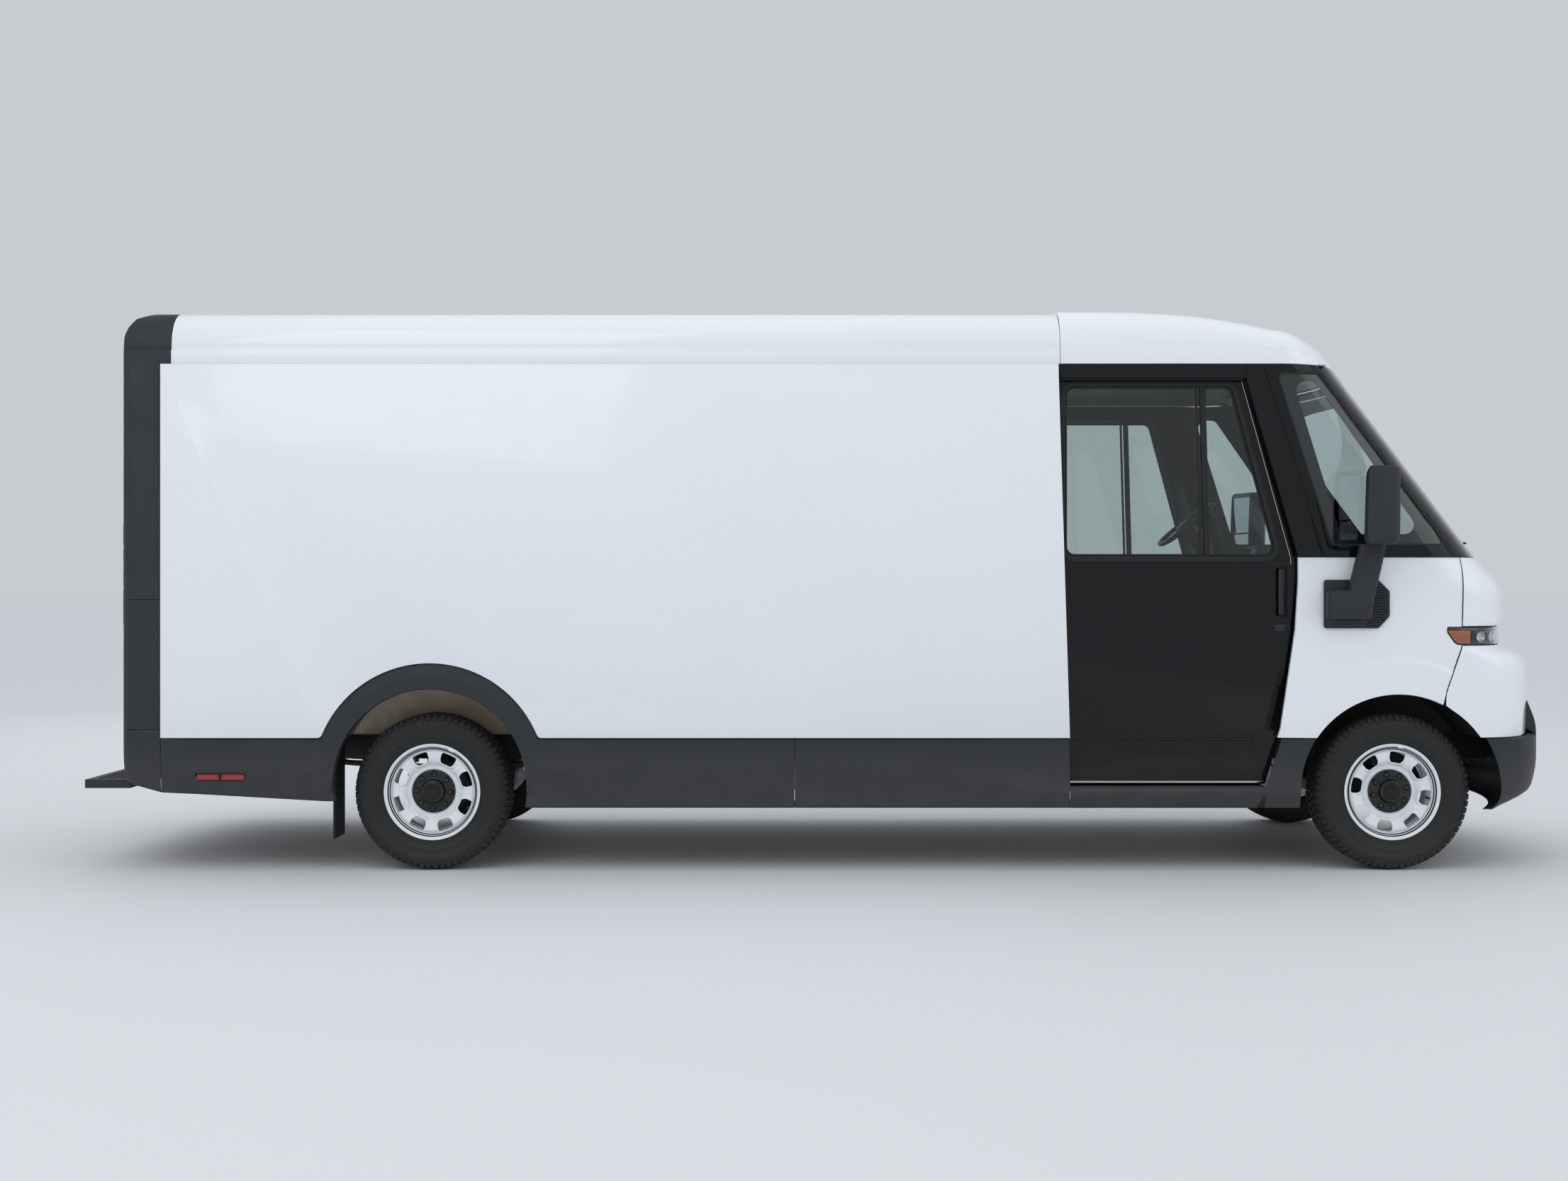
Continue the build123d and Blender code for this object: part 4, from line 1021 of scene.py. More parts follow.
def makeFender():
    ax, az, radius = cab["frontArch"]
    # the fender's outer edge: share of the way round it, X, Z and the angle it is seen at from the arch
    outer = [(0, 4078, 646.5, 145.8), (0.06, 4092, 692, 142), (0.2, 4128, 930, 133),
             (0.34, 4164.5, 1166, 124), (0.44, 4178.5, 1395, 117), (0.5, 4178.5, 1513.5, 112),
             (0.8, 4972.5, 1513.5, 76), (0.94, 4962.5, 1080, 67), (0.985, 4890, 880, 64.2),
             (1, 4883, 846, 63.6)]
    stops = sorted({round(row[0], 5) for row in outer} | {i / 90 for i in range(91)})
    sections = []

    def outerAt(q, column):
        for a, b in zip(outer, outer[1:]):
            if q <= b[0]:
                return mix(a[column], b[column], (q - a[0]) / (b[0] - a[0]))

    for q in stops:
        a = radians(outerAt(q, 3))
        start = Vector((ax + radius * cos(a), az + radius * sin(a)))
        end = Vector((outerAt(q, 1), outerAt(q, 2)))
        low, high = 0, 1
        for _ in range(18):          # where the line meets the soft crease
            middle = (low + high) / 2
            spot = start.lerp(end, middle)
            _, r, edge = flareAt(spot.x, spot.y)
            low, high = (middle, high) if r < edge else (low, middle)
        crease, length = low, (end - start).length
        shares = spread(0, max(crease - 18 / length, 0.02), 5)[1:]
        shares += spread(crease - 12 / length, crease + 24 / length, 6)
        shares = [min(max(s, 0.006), 0.985) for s in shares]
        shares += spread(max(min(crease + 40 / length, 0.985), 0.03), 0.985, 8) + [1 - 2 / length]
        rows = [(0, 46), (0, 5), (1.5 / length, 1.5)] + [(s, 0) for s in sorted(shares)]
        rows += [(1, 1.6), (1, 20)]
        column = []
        for s, inwards in rows:
            spot = start.lerp(end, min(s, 1))
            column.append((spot.x, fenderY(spot.x, spot.y) - inwards, spot.y))
        sections.append(column)
    piece = sheet("fender", sections, cab["wall"])
    cut(piece, lampPrism(2.5, 900, 1150), solver="FAST")
    smoothed(bothSides(piece), 40)
    rides(piece, "root", "whiteEnamel", ("front_fenders",))


def makeNose():
    ax, az, radius = cab["frontArch"]

    def bumperStart(z):
        arch = ax + sqrt(max(radius ** 2 - (z - az) ** 2, 0))
        return max(arch, seamAt(z) + 2.5)

    heights = [646.5, 647.5, 660, 690, 720, 750, 780, 800, 830, 860, 900, 940, 960, 980, 1000, 1015, 1030,
               1043, 1053, 1062, 1070, 1076, 1081, 1087, 1088.5]
    bumper = cabSkin("bumperSkin", heights, bumperStart, 112, whiteLevels, cab["wall"], 0, 9)
    cut(bumper, frontPanel("mouth", (-762, 762), (600, 802), (4990, 5700), 58, 7), solver="FAST")
    smoothed(bumper, 40)
    rides(bumper, "root", "whiteEnamel", ("front_bumper",))

    heights = [1181.5, 1183, 1190, 1200, 1212, 1235, 1270, 1305, 1330, 1350, 1370, 1395, 1420, 1450, 1480,
               1505, 1512.5, 1513.7]
    panel = cabSkin("noseSkin", heights, lambda z: seamAt(z) + 2.5, 96, whiteLevels, cab["wall"], 0, 9)
    smoothed(panel, 40)
    rides(panel, "root", "whiteEnamel", ("nose_panel",))


def makeLowerBumper():
    low = cab["lowLevels"]
    ax, az, radius = cab["frontArch"]
    heights = [286, 288, 300, 325, 350, 375, 392, 410, 440, 480, 520, 560, 600, 630, 641, 644]

    def apronStart(z):
        return max(ax + sqrt(max((radius + 20) ** 2 - (z - az) ** 2, 0)), 4982)

    apron = cabSkin("apron", heights, apronStart, 96, low, 5, 0, 40)
    for z in (424, 474, 524):
        slot = rounded([(-482, z), (482, z), (476, z + 31), (-476, z + 31)], 12, 4)
        cut(apron, frontPlate("slot", slot, 5450, 5700), solver="FAST")
    heights = [640, 648, 660, 680, 700, 725, 750, 775, 797, 799]
    face = clipped(cabSkin("grilleFace", heights, lambda z: 4990, 96, low, 46, 0.6, 6),
                   frontPanel("keep", (-759, 759), (560, 798), (4980, 5700), 55, 7))
    bars = []
    for z in (664, 692, 720, 748, 774):           # raised ribs across the grille face
        rib = []
        for i in range(61):
            t = i / 30 - 1
            section = []
            for dz, out in ((-7, -4), (-6, 1.5), (-4, 3.2), (4, 3.2), (6, 1.5), (7, -4)):
                front, corner = noseAt(z + dz, low)
                x, y, nx, ny = planAt(front, corner, 5140, 1 - abs(t) * 0.55, 3.4)
                way = 1 if t <= 0 else -1
                section.append((x + nx * (out - 0.5), way * (y + ny * (out - 0.5)), z + dz))
            rib.append(section)
        bar = facing(gridSkin("rib", rib), (1, 0, 0))
        bars.append(applied(bar, "SOLIDIFY", thickness=0.003, offset=-1))
    blankPlate = frontPanel("plateHolder", (-160, 160), (660, 780), (5561, 5569), 8, 6, 1.5)
    behind = cabSkin("slotBack", [392, 410, 440, 480, 520, 560, 580], lambda z: 5300, 40, low, 4, 55)
    outwards(apron, 0.00005)
    whole = smoothed(joined("lowerBumper", apron, face, behind, blankPlate, *bars), 40)
    rides(whole, "root", "grainedPolypropylene", ("lower_bumper",))


# The same outline cut through both sides
def throughSides(outline, y0, y1):
    return [sidePlate("prism", outline, y0, y1), sidePlate("prism", outline, -y1, -y0)]


def windOutline(grow):
    foot, head = screenX(1560) - 196 - grow, screenX(2400) - 196 - grow
    return rounded([(foot, 1560 - grow), (5800, 1560 - grow), (5800, 2400 + grow), (head, 2400 + grow)],
                   40 + grow, 8)


def quarterOutline(grow):
    return rounded([(4074 - grow * 1.25, 2400 + grow), (4336 - grow * 1.35, 1574 - grow),
                    (4900 + grow * 2.2, 1574 - grow), (4290 + grow * 0.5, 2400 + grow)], 22, 5)


# Frame, windscreen and quarter glasses share the upper skin
def makeGreenhouse():
    heights = [1516, 1517.5] + spread(1540, 2420, 14) + [2441, 2442.5]

    def upperSkin(name, start, wall, inset=0):
        return cabSkin(name, heights, lambda z: start, 128, glassLevels, wall, inset)

    def windPrism(outline):
        return sidePlate("prism", outline, -1150, 1150)

    frameSkin = upperSkin("frameSkin", 3032, 26)
    doorway = [(2990, 400), (2990, 2376), (3927, 2376), (4177, 1515), (4177, 400)]
    cut(frameSkin, windPrism(windOutline(0)), *throughSides(quarterOutline(0), 900, 1150),
        *throughSides(doorway, 1032, 1150), solver="FAST")
    # shut lines of the pillar panel and of the panel over the door
    for line in ([(4002, 2446), (4006, 2446), (4306, 1512), (4302, 1512)],
                 [(3924, 2446), (3927.5, 2446), (3927.5, 2370), (3924, 2370)]):
        cut(frameSkin, *throughSides(line, 1086.5, 1150), solver="FAST")
    smoothed(bevelled(frameSkin, 2, 2, 50), 35)
    rides(frameSkin, "root", "glossAcrylic", ("cab_frame",))

    windscreen = clipped(upperSkin("windscreenGlass", 3900, 5, 1.5), windPrism(windOutline(-2)))
    rides(smoothed(windscreen, 40), "root", "laminatedGlass", ("windscreen",))
    quarters = clipped(upperSkin("quarterGlass", 3900, 4, 1.5), *throughSides(quarterOutline(-2), 900, 1150))
    rides(smoothed(quarters, 40), "root", "laminatedGlass", ("quarter_glass",))

    # printed black border inside each glass
    border = clipped(upperSkin("frit", 3900, 0.6, 6), windPrism(windOutline(-2.5)))
    clear = rounded([(screenX(1660) - 134, 1650), (5800, 1650), (5800, 2335), (screenX(2335) - 136, 2335)],
                    60, 8)
    cut(border, windPrism(clear), solver="FAST")
    side = clipped(upperSkin("fritSide", 3900, 0.6, 6), *throughSides(quarterOutline(-2.5), 900, 1150))
    clear = rounded([(4152, 2360), (4380, 1625), (4775, 1625), (4262, 2360)], 45, 7)
    cut(side, *throughSides(clear, 900, 1150), solver="FAST")
    printed = smoothed(joined("printedBorder", border, side), 40)
    rides(printed, "root", "satinBlackPlastic")

    # soft rubber round the quarter glasses
    for sign, side in ((1, "Left"), (-1, "Right")):
        points = [at(x, sign * (upperY(x, z) - 1), z) for x, z in refined(quarterOutline(0), 30)]
        seal = tube("quarterSeal" + side, points, 4.5, True, 2)
        rides(seal, "root", "mouldedRubber")


# The upper skin's side at a place: straight, round the corner and into the nose arc
def upperY(x, z):
    big, corner = cab["noseRadius"], glassLevels[0][2]
    cy = cab["half"] - corner
    bigX = screenX(z) - big
    cx = bigX + sqrt((big - corner) ** 2 - cy ** 2)
    if x < cx:
        return cab["half"]
    meet = atan2(cy, cx - bigX)
    if x < cx + corner * cos(meet):
        return cy + sqrt(corner ** 2 - (x - cx) ** 2)
    return sqrt(max(big ** 2 - (x - bigX) ** 2, 0))


# More points along a closed outline, none further apart than the step
def refined(outline, step):
    points = []
    for i, (x, z) in enumerate(outline):
        nx, nz = outline[(i + 1) % len(outline)]
        count = max(1, int(hypot(nx - x, nz - z) / step))
        points += [(mix(x, nx, k / count), mix(z, nz, k / count)) for k in range(count)]
    return points


# A strip of the nose between two heights, over a share of its way round from the lamp's rear end
def lampStrip(name, low, high, share0, share1, depth, wall, grow=0):
    sections = []
    for share in spread(share0, share1, 26):
        column = []
        for k, z in enumerate(spread(low, high, 8)):
            front, corner = noseAt(z, whiteLevels)
            x, y, nx, ny = planAt(front, corner, cab["lampX"], share, depth)
            edge = 5 if k in (0, 8) else 0
            column.append((x - nx * edge, y - ny * edge, z))
        sections.append(column)
    piece = facing(gridSkin(name, sections), (1, 1, 0))
    applied(piece, "SOLIDIFY", thickness=wall / 1000, offset=-1, use_even_offset=False)
    if grow is not None:
        clipped(piece, lampPrism(-grow, 0, 1150))
    return smoothed(bothSides(piece), 40)


# A clear lens over a dark tray, with an amber end, four bowls and a dark band along the top
def makeHeadlamps():
    end = 0.487
    lens = lampStrip("lampLens", 1091, 1179, 0.001, end, 3, 3)
    rides(lens, "root", "clearPolycarbonate", ("headlamps",))
    tray = lampStrip("lampTray", 1091, 1179, 0.001, end, 48, 3, -1)
    rides(tray, "root", "satinBlackPlastic")
    amber = lampStrip("lampAmber", 1096, 1162, 0.001, 0.0925, 9, 10, 5)
    rides(amber, "root", "amberAcrylic")
    top = lampStrip("lampBand", 1163, 1176.5, 0.01, end - 0.005, 8, 20, None)
    rides(top, "root", "satinBlackPlastic")
    bowls = []
    for share in (0.146, 0.226, 0.313, 0.4):
        front, corner = noseAt(1130, whiteLevels)
        x, y, nx, ny = planAt(front, corner, cab["lampX"], share, 16)
        bowl = spun("bowl", [(27, 0), (28, 1), (29, -1), (27, -12), (21, -21), (9, -27), (0, -28), (0, -25),
                             (8, -24), (19, -18), (25, -10)], (0, 0, 0), 32)
        outwardTurn = Matrix.Rotation(-(pi / 2 - atan2(ny, nx)), 4, "Z")
        place = Matrix.Translation(at(x, y, 1129)) @ outwardTurn @ Matrix.Translation(-at(0, 0, 0))
        bowl.data.transform(place)
        bowls.append(smoothed(bowl, 40))
    rides(bothSides(joined("lampBowls", *bowls)), "root", "chromedReflector")

    heights = [1091.5, 1093, 1110, 1135, 1160, 1177, 1178.5]
    band = clipped(cabSkin("noseBand", heights, lambda z: 4933, 120, whiteLevels, 4, 5, 5),
                   frontPanel("keep", (-557, 557), (1080, 1190), (5000, 5700), 0))
    rides(smoothed(band, 40), "root", "glossAcrylic", ("nose_band",))


makeFender()
makeNose()
makeLowerBumper()
makeGreenhouse()
makeHeadlamps()
print("cab panels, glass and headlamps made")


# Cab roof: sections from the edge of the roof to its ridge line, all round the front

roof = {
    "front": 4590, "rear": 3033, "edgeZ": 2444.5, "cornerX": 4094,
    "wallTop": (2521, 2490), "railWidth": (146, 185),          # along the sides and across the front
    "shoulder": [(3030, 2712), (3329, 2711), (3661, 2694), (3965, 2652), (4094, 2624)], "frontShoulder": 2582,
    "ridge": [(3030, 2762), (3300, 2761), (3880, 2711), (4100, 2668)],
    "drip": 8, "dripFade": (3650, 4012), "lean": 0.74, "wall": 3,
}


def makeCabRoof():
    sections = []
    columns = 150
    for i in range(columns + 1):
        t = 2 * i / columns - 1
        x, y, nx, ny = planAt(roof["front"], 300, roof["rear"], 1 - abs(t))
        turn = degrees(atan2(nx, ny))
        front = ease(turn / 62)
        ridgeX = x if x < 3600 else 3600 + (x - 3600) * 0.45
        ridgeZ = along(roof["ridge"], ridgeX)
        side = along(roof["shoulder"], min(x, roof["cornerX"]))
        shoulder = mix(side, roof["frontShoulder"], front)
        wallTop = mix(*roof["wallTop"], front)
        rail = mix(*roof["railWidth"], front)
        lean = roof["lean"] * front          # the front goes on at the slope of the windscreen
        fadeFrom, fadeTo = roof["dripFade"]
        drip = roof["drip"] * (1 - ease((x - fadeFrom) / (fadeTo - fadeFrom)))
        wayX, wayY = ridgeX - x, -y
        length = max(hypot(wayX, wayY), 1)
        low = roof["edgeZ"]
        rows = [(14, low), (1.5, low), (0, low + 1.5), (0, mix(low, wallTop, 0.5)), (0, wallTop - 13),
                (0.8, wallTop - 10.5), (drip, wallTop - 8.5), (drip + 0.4, wallTop - 6),
                (drip + 0.6, wallTop)]
        rows = [(d + lean * (z - low), z) for d, z in rows]
        width = rail - drip - lean * (shoulder - low)
        for k in range(1, 11):
            a = pi / 2 * k / 10
            z = wallTop + (shoulder - wallTop) * sin(a) ** 1.04
            rows.append((drip + 0.6 + width * (1 - cos(a)) + lean * (z - low), z))
        for k in range(1, 11):
            share = k / 10
            rows.append((mix(rail, length, share), mix(shoulder, ridgeZ, 1 - (1 - share) ** 2)))
        sign = 1 if t <= 0 else -1
        sections.append([(x + wayX * d / length, sign * (y + wayY * d / length), z) for d, z in rows])
    # a lip turned down along the joint with the load body
    for place, section in ((0, sections[0]), (len(sections) + 1, sections[-1])):
        sections.insert(place, [(x, y * 0.975, z - 26 * ease((z - low) / 90)) for x, y, z in section])
    piece = gridSkin("cabRoof", sections)
    outwards(piece, 0.0001)
    facing(piece, (0, 0, 1))
    applied(piece, "SOLIDIFY", thickness=roof["wall"] / 1000, offset=-1, use_even_offset=False)
    smoothed(piece, 42)
    rides(piece, "root", "whiteEnamel", ("cab_roof",))


# Sliding doors, modelled on the left side and turned over for the right

door = {
    "leaf": [(2997, 420), (2997, 2391), (3942, 2391), (4192, 1515), (4192, 1395), (4178, 1166), (4106, 692),
             (4027, 420)],
    "window": [(3062, 1520), (3062, 2339), (3865, 2339), (4085, 1520)], "windowRadius": 45,
    "in": 1012, "out": 1047.5,
}


def ringPlate(name, outline, hole, y0, y1, bevel):
    piece = sidePlate(name, outline, y0, y1)
    cut(piece, sidePlate("hole", hole, y0 - 5, y1 + 5))
    return smoothed(bevelled(piece, bevel, 2, 40), 30)


def makeDoor():
    window = rounded(door["window"], door["windowRadius"], 8)
    leaf = sidePlate("doorLeaf", rounded(door["leaf"], 6, 3), door["in"], door["out"])
    recess = rounded([(4079, 1220), (4079, 1475), (4131, 1475), (4131, 1220)], 16, 5)
    cut(leaf, sidePlate("hole", window, 1000, 1060),
        block("rubGroove", (3098, 3972), (1042, 1060), (630, 638), 0),
        block("headGroove", (3020, 3925), (1045, 1060), (2366, 2370), 0),
        sidePlate("recess", recess, 1031, 1060))
    smoothed(bevelled(leaf, 2, 2, 40), 30)
    # rubber round the window and between its panes
    grown = rounded([(3034, 1494), (3034, 2363), (3886, 2363), (4119, 1494)], door["windowRadius"] + 24, 8)
    inner = rounded([(3072, 1530), (3072, 2329), (3858, 2329), (4072, 1530)], 37, 8)
    surround = ringPlate("windowSurround", grown, window, 1040, 1050, 2.5)
    seal = ringPlate("glassSeal", window, inner, 1026, 1043, 2.5)
    divider = softPlate("divider", [(3711, 2342), (3740, 2342), (3763, 1517), (3734, 1517)], 1024, 1046, 3)
    slide = softPlate("paneEdge", [(3690, 2336), (3702, 2336), (3725, 1522), (3713, 1522)], 1022, 1037, 2)
    rubber = joined("doorRubber", surround, seal, divider, slide)
    # a bright line down the front edge and along the foot
    line = [(3915, 2362), (4032, 1940), (4150, 1515), (4152, 1480)]
    trim = tube("edgeTrim", [at(x, 1047.6, z) for x, z in line], 2.2)
    foot = rounded([(3086, 425), (3082, 434), (4022, 434), (4019, 425)], 2, 2)
    bright = joined("doorBrightwork", trim, softPlate("kickStrip", foot, 1044, 1049.8, 1))
    # the pull in its recess, the lock under it and the rubbing strip
    bar = smoothed(block("pullBar", (4092, 4118), (1036, 1049), (1236, 1459), 5, 3), 35)
    stubs = [smoothed(block("stub", (4094, 4116), (1028, 1040), z, 3), 35)
             for z in ((1240, 1262), (1433, 1455))]
    lockOutline = rounded([(4070, 1158), (4070, 1190), (4128, 1190), (4128, 1158)], 12, 5)
    lock = softPlate("lockPlate", lockOutline, 1044, 1050, 2, angle=35)
    barrel = spun("lockBarrel", [(0, 1049.9), (9, 1049.9), (10, 1049), (10, 1044), (0, 1044)],
                  (4099, 0, 1174), 28)
    strip = smoothed(block("rubStrip", (3100, 3970), (1041, 1046), (631.5, 636.5), 1), 35)
    hardware = joined("doorHardware", bar, *stubs, lock, smoothed(barrel, 35), strip)
    board = rounded([(3020, 470), (3020, 2370), (3900, 2370), (4150, 1510), (4150, 1380), (4072, 700),
                     (4000, 470)], 20, 4)
    opening = rounded([(3052, 1508), (3052, 2349), (3873, 2349), (4098, 1508)], 50, 8)
    inside = ringPlate("doorLining", board, opening, 1012.2, 1016, 1)
    pane = softPlate("doorPane", window, 1030, 1035)
    pieces = [(leaf, "glossAcrylic", "gloss_black", "door"), (rubber, "mouldedRubber", "gloss_black", ""),
              (bright, "brightSteel", "gloss_black", ""), (hardware, "satinBlackPlastic", "gloss_black", ""),
              (inside, "greyTrimPlastic", "gloss_black", ""),
              (pane, "laminatedGlass", "window_glass", "door_glass")]
    for piece, finish, slot, node in pieces:
        twin = otherSide(piece, piece.name + "Right")
        for side, one in (("left", piece), ("right", twin)):
            nodes = (f"{node}_{side}",) if node else ()
            rides(one, f"door_{side}", finish, nodes)


# A closed form through loops of equal count, capped at both ends
def lofted(name, loops):
    count, rows = len(loops[0]), len(loops) - 1
    piece = skin(name, count, rows, lambda u, v: loops[round(v * rows)][round(u * count) % count])
    editAll(piece)
    bpy.ops.mesh.remove_doubles(threshold=0.00001)
    bpy.ops.mesh.select_all(action="DESELECT")
    bpy.ops.mesh.select_mode(type="EDGE")
    bpy.ops.mesh.select_non_manifold()
    bpy.ops.mesh.edge_face_add()
    bpy.ops.mesh.select_mode(type="VERT")
    bpy.ops.mesh.select_all(action="SELECT")
    bpy.ops.mesh.fill_holes(sides=0)
    bpy.ops.mesh.normals_make_consistent(inside=False)
    bpy.ops.object.mode_set(mode="OBJECT")
    return piece


# A level loop with rounded corners; its rear edge may slant, further back on the outside
def levelLoop(x0, x1, y0, y1, z, frontRadius, rearRadius, slant=0):
    corners = [(x0 + slant, y0, rearRadius), (x0, y1, rearRadius), (x1, y1, frontRadius),
               (x1, y0, frontRadius)]
    return [(x, y, z) for x, y in rounded(corners, 10, 7)]


# Level loops up a part of the mirror: height, rear and front edge from the front axle, inner and outer edge,
# radius of the front corners and, where they differ, of the rear ones
def mirrorPart(name, rows):
    return lofted(name, [levelLoop(frontAxle + x0, frontAxle + x1, y0, y1, z, radii[0], radii[-1])
                         for z, x0, x1, y0, y1, *radii in rows])


mirrorSlant = 62          # how much further back the head's rear face lies at its outer edge


def makeMirror():
    ax = frontAxle
    outline = [(-353, 1172), (-353, 1405), (-92, 1405), (-38, 1350), (-38, 1230), (-92, 1172)]
    base = sidePlate("mirrorBase", rounded([(ax + x, z) for x, z in outline], 13, 4), 1092.5, 1103.5)
    holes = []
    for row in range(17):          # diamond holes in staggered rows, short of the base's slanted corners
        for column in range(9):
            x, z = ax - 148 + column * 13 + (6.5 if row % 2 else 0), 1186 + row * 13
            if x < ax - 50 - max(0, abs(z - 1290) - 60) * 0.8 and z < 1396:
                diamond = [(x - 5, z), (x, z + 5), (x + 5, z), (x, z - 5)]
                holes.append(sidePlate("hole", diamond, 1095, 1110))
    cut(base, joined("holes", *holes), solver="FAST")
    smoothed(bevelled(base, 1.6, 2, 50), 30)
    foot = mirrorPart("mirrorFoot", [
        (1219, -338, -150, 1100, 1160, 16), (1224, -346, -142, 1100, 1172, 20),
        (1240, -350, -138, 1100, 1179, 24), (1300, -350, -132, 1100, 1180, 24),
        (1345, -348, -122, 1100, 1180, 24), (1353, -338, -116, 1104, 1176, 22),
        (1355, -330, -116, 1108, 1170, 18)])
    smoothed(bevelled(foot, 3, 2, 50), 40)
    stem = mirrorPart("mirrorStem", [
        (1290, -262, -136, 1112, 1178, 22, 18), (1350, -252, -124, 1116, 1179, 22, 18),
        (1410, -238, -108, 1122, 1180, 22, 18), (1480, -222, -92, 1128, 1180, 22, 18),
        (1540, -206, -79, 1132, 1180, 22, 18), (1574, -198, -76, 1132, 1180, 22, 18)])
    smoothed(stem, 40)
    head = []          # height, how far the edge is rounded in, rear and front
    for z, shrink, x0, x1 in ((1571, 16, -232, -66), (1575, 8, -232, -65), (1583, 2.5, -232, -64),
                              (1600, 0, -232, -64), (1700, 0, -229, -62), (1800, 0, -226, -62),
                              (1900, 0, -222, -62), (1925, 2.5, -221, -62), (1935, 8, -221, -63),
                              (1939, 16, -221, -64)):
        head.append(levelLoop(ax + x0 + shrink, ax + x1 - shrink, 1131 + shrink, 1374 - shrink, z, 44, 12,
                              mirrorSlant))
    head = lofted("mirrorHead", head)

    # boxes that lie along the slanted rear face, at a depth under it
    def faced(name, low, high, deep, thick, radius, beyond=0):
        outline = panelOutline((1150 - beyond, 1354 + beyond), (low, high), radius)
        face = [at(ax - 227 + (1374 - y) * mirrorSlant / 243 + deep, y, z) for y, z in outline]
        return plate(name, face, (thick, 0, 0))

    cut(head, faced("pocket", 1594, 1917, -40, 54, 16, 6))
    smoothed(bevelled(head, 2, 2, 50), 40)
    shell = joined("mirrorShells", base, foot, stem, head)
    glassUp = smoothed(bevelled(faced("mirrorGlass", 1700, 1911, 11, 5, 14), 1), 30)
    glassLow = smoothed(bevelled(faced("mirrorWide", 1600, 1690, 11, 5, 12), 1), 30)
    glass = joined("mirrorGlass", glassUp, glassLow)
    bothSides(shell)
    bothSides(glass)
    rides(shell, "root", "grainedPolypropylene", ("mirrors",))
    rides(glass, "root", "mirrorGlass")


# Tail lamps in tall bezels, side markers in two halves

def makeLampsRear():
    low = van["bodyRear"] - 12
    across = (938, 1027)
    pieces = {"redAcrylic": [], "amberAcrylic": [], "clearPolycarbonate": [], "satinBlackPlastic": []}
    for up, finish in (((1184, 1366), "redAcrylic"), ((1371, 1461), "amberAcrylic"),
                       ((1466, 1556), "clearPolycarbonate"), ((1574, 1676), "redAcrylic")):
        lens = frontPanel("lens", across, up, (low + 1, low + 10), 12, 5, 4)
        pieces[finish].append(smoothed(lens, 40))
    for up in ((1180, 1560), (1570, 1680)):
        bezel = frontPanel("bezel", (935, 1030), up, (low + 5, low + 12), 14, 5, 1.5)
        pieces["satinBlackPlastic"].append(smoothed(bezel, 40))
    backs = frontPanel("lampBack", (942, 1023), (1470, 1552), (low + 9.5, low + 11), 8, 4)
    for x0, x1 in ((-1119, -1012), (-998, -890)):
        half = rounded([(x0, 443), (x0, 469), (x1, 469), (x1, 443)], 7, 4)
        pieces["redAcrylic"].append(softPlate("markerHalf", half, 1085, 1094.5, 2, angle=40))
    tray = rounded([(-1132, 434), (-1132, 480), (-878, 480), (-878, 434)], 10, 4)
    pieces["satinBlackPlastic"].append(sidePlate("markerTray", tray, 1078, 1086, 1))
    for finish, group in pieces.items():
        piece = bothSides(joined("rearLamps" + finish[0].upper() + finish[1:], *group))
        stands = ("rear_lamps",) if finish == "redAcrylic" else ()
        rides(piece, "root", finish, stands)
    rides(bothSides(backs), "root", "chromedReflector")


def makeRearDetails():
    # the corner posts are two mouldings, one above the other
    surround = eased("rear_surround", "grainedPolypropylene", 3)
    for y0, y1 in ((1094, 1110), (-1110, -1094)):
        cut(surround, block("postSeam", (-1500, -1285), (y0, y1), (1309.6, 1312.4), 0), solver="FAST")
    smoothed(surround, 30)
    rivets = []
    for sign in (1, -1):
        for x, y, z in ((-1262, 1072, 2580), (-1262, 1040, 2626)):
            only()
            bpy.ops.mesh.primitive_uv_sphere_add(segments=16, ring_count=8, radius=0.007,
                                                 location=at(x, sign * y, z))
            bpy.ops.object.transform_apply(location=True)
            rivets.append(smoothed(bpy.context.object, 60))
    low = van["bodyRear"] + 15
    grip = [(-1446, -55), (-1462, -50), (-1466, -40), (-1466, 40), (-1462, 50), (-1446, 55)]
    latch = [smoothed(frontPanel("latchPlate", (-70, 70), (760, 850), (-1443, -1437), 10, 4, 1.5), 35),
             smoothed(tube("latchGrip", [at(x, y, 790) for x, y in grip], 7), 50),
             smoothed(block("latchBolt", (-1452, -1440), (-12, 12), (805, 842), 2), 35)]
    # each grab rail: X, how far out, and height
    rail = [(-1470, 899, 1000), (-1472, 886, 1012), (-1474, 882, 1030), (-1474, 882, 1470),
            (-1472, 886, 1488), (-1470, 899, 1500)]
    grips = [tube("grabRail", [at(x, sign * y, z) for x, y, z in rail], 10) for sign in (1, -1)]
    holder = smoothed(frontPanel("plateHolder", (-265, 265), (520, 640), (low - 4, low + 2), 10, 4, 1.5), 35)
    lights = [smoothed(block("plateLight", (low - 12, low + 1), (y - 30, y + 30), (648, 662), 3), 35)
              for y in (-120, 120)]
    rides(joined("rearRivets", *rivets), "root", "dippedSteel")
    rides(joined("doorLatch", *latch), "root", "brightSteel")
    rides(joined("grabRails", *grips), "root", "dippedSteel")
    rides(joined("plateCarrier", holder, *lights), "root", "satinBlackPlastic")


makeCabRoof()
makeDoor()
makeMirror()
makeLampsRear()
makeRearDetails()
print("roof, doors, mirrors and rear made")


# Seat pads: each starts a little small, is blown up as cloth, and gets its channels afterwards

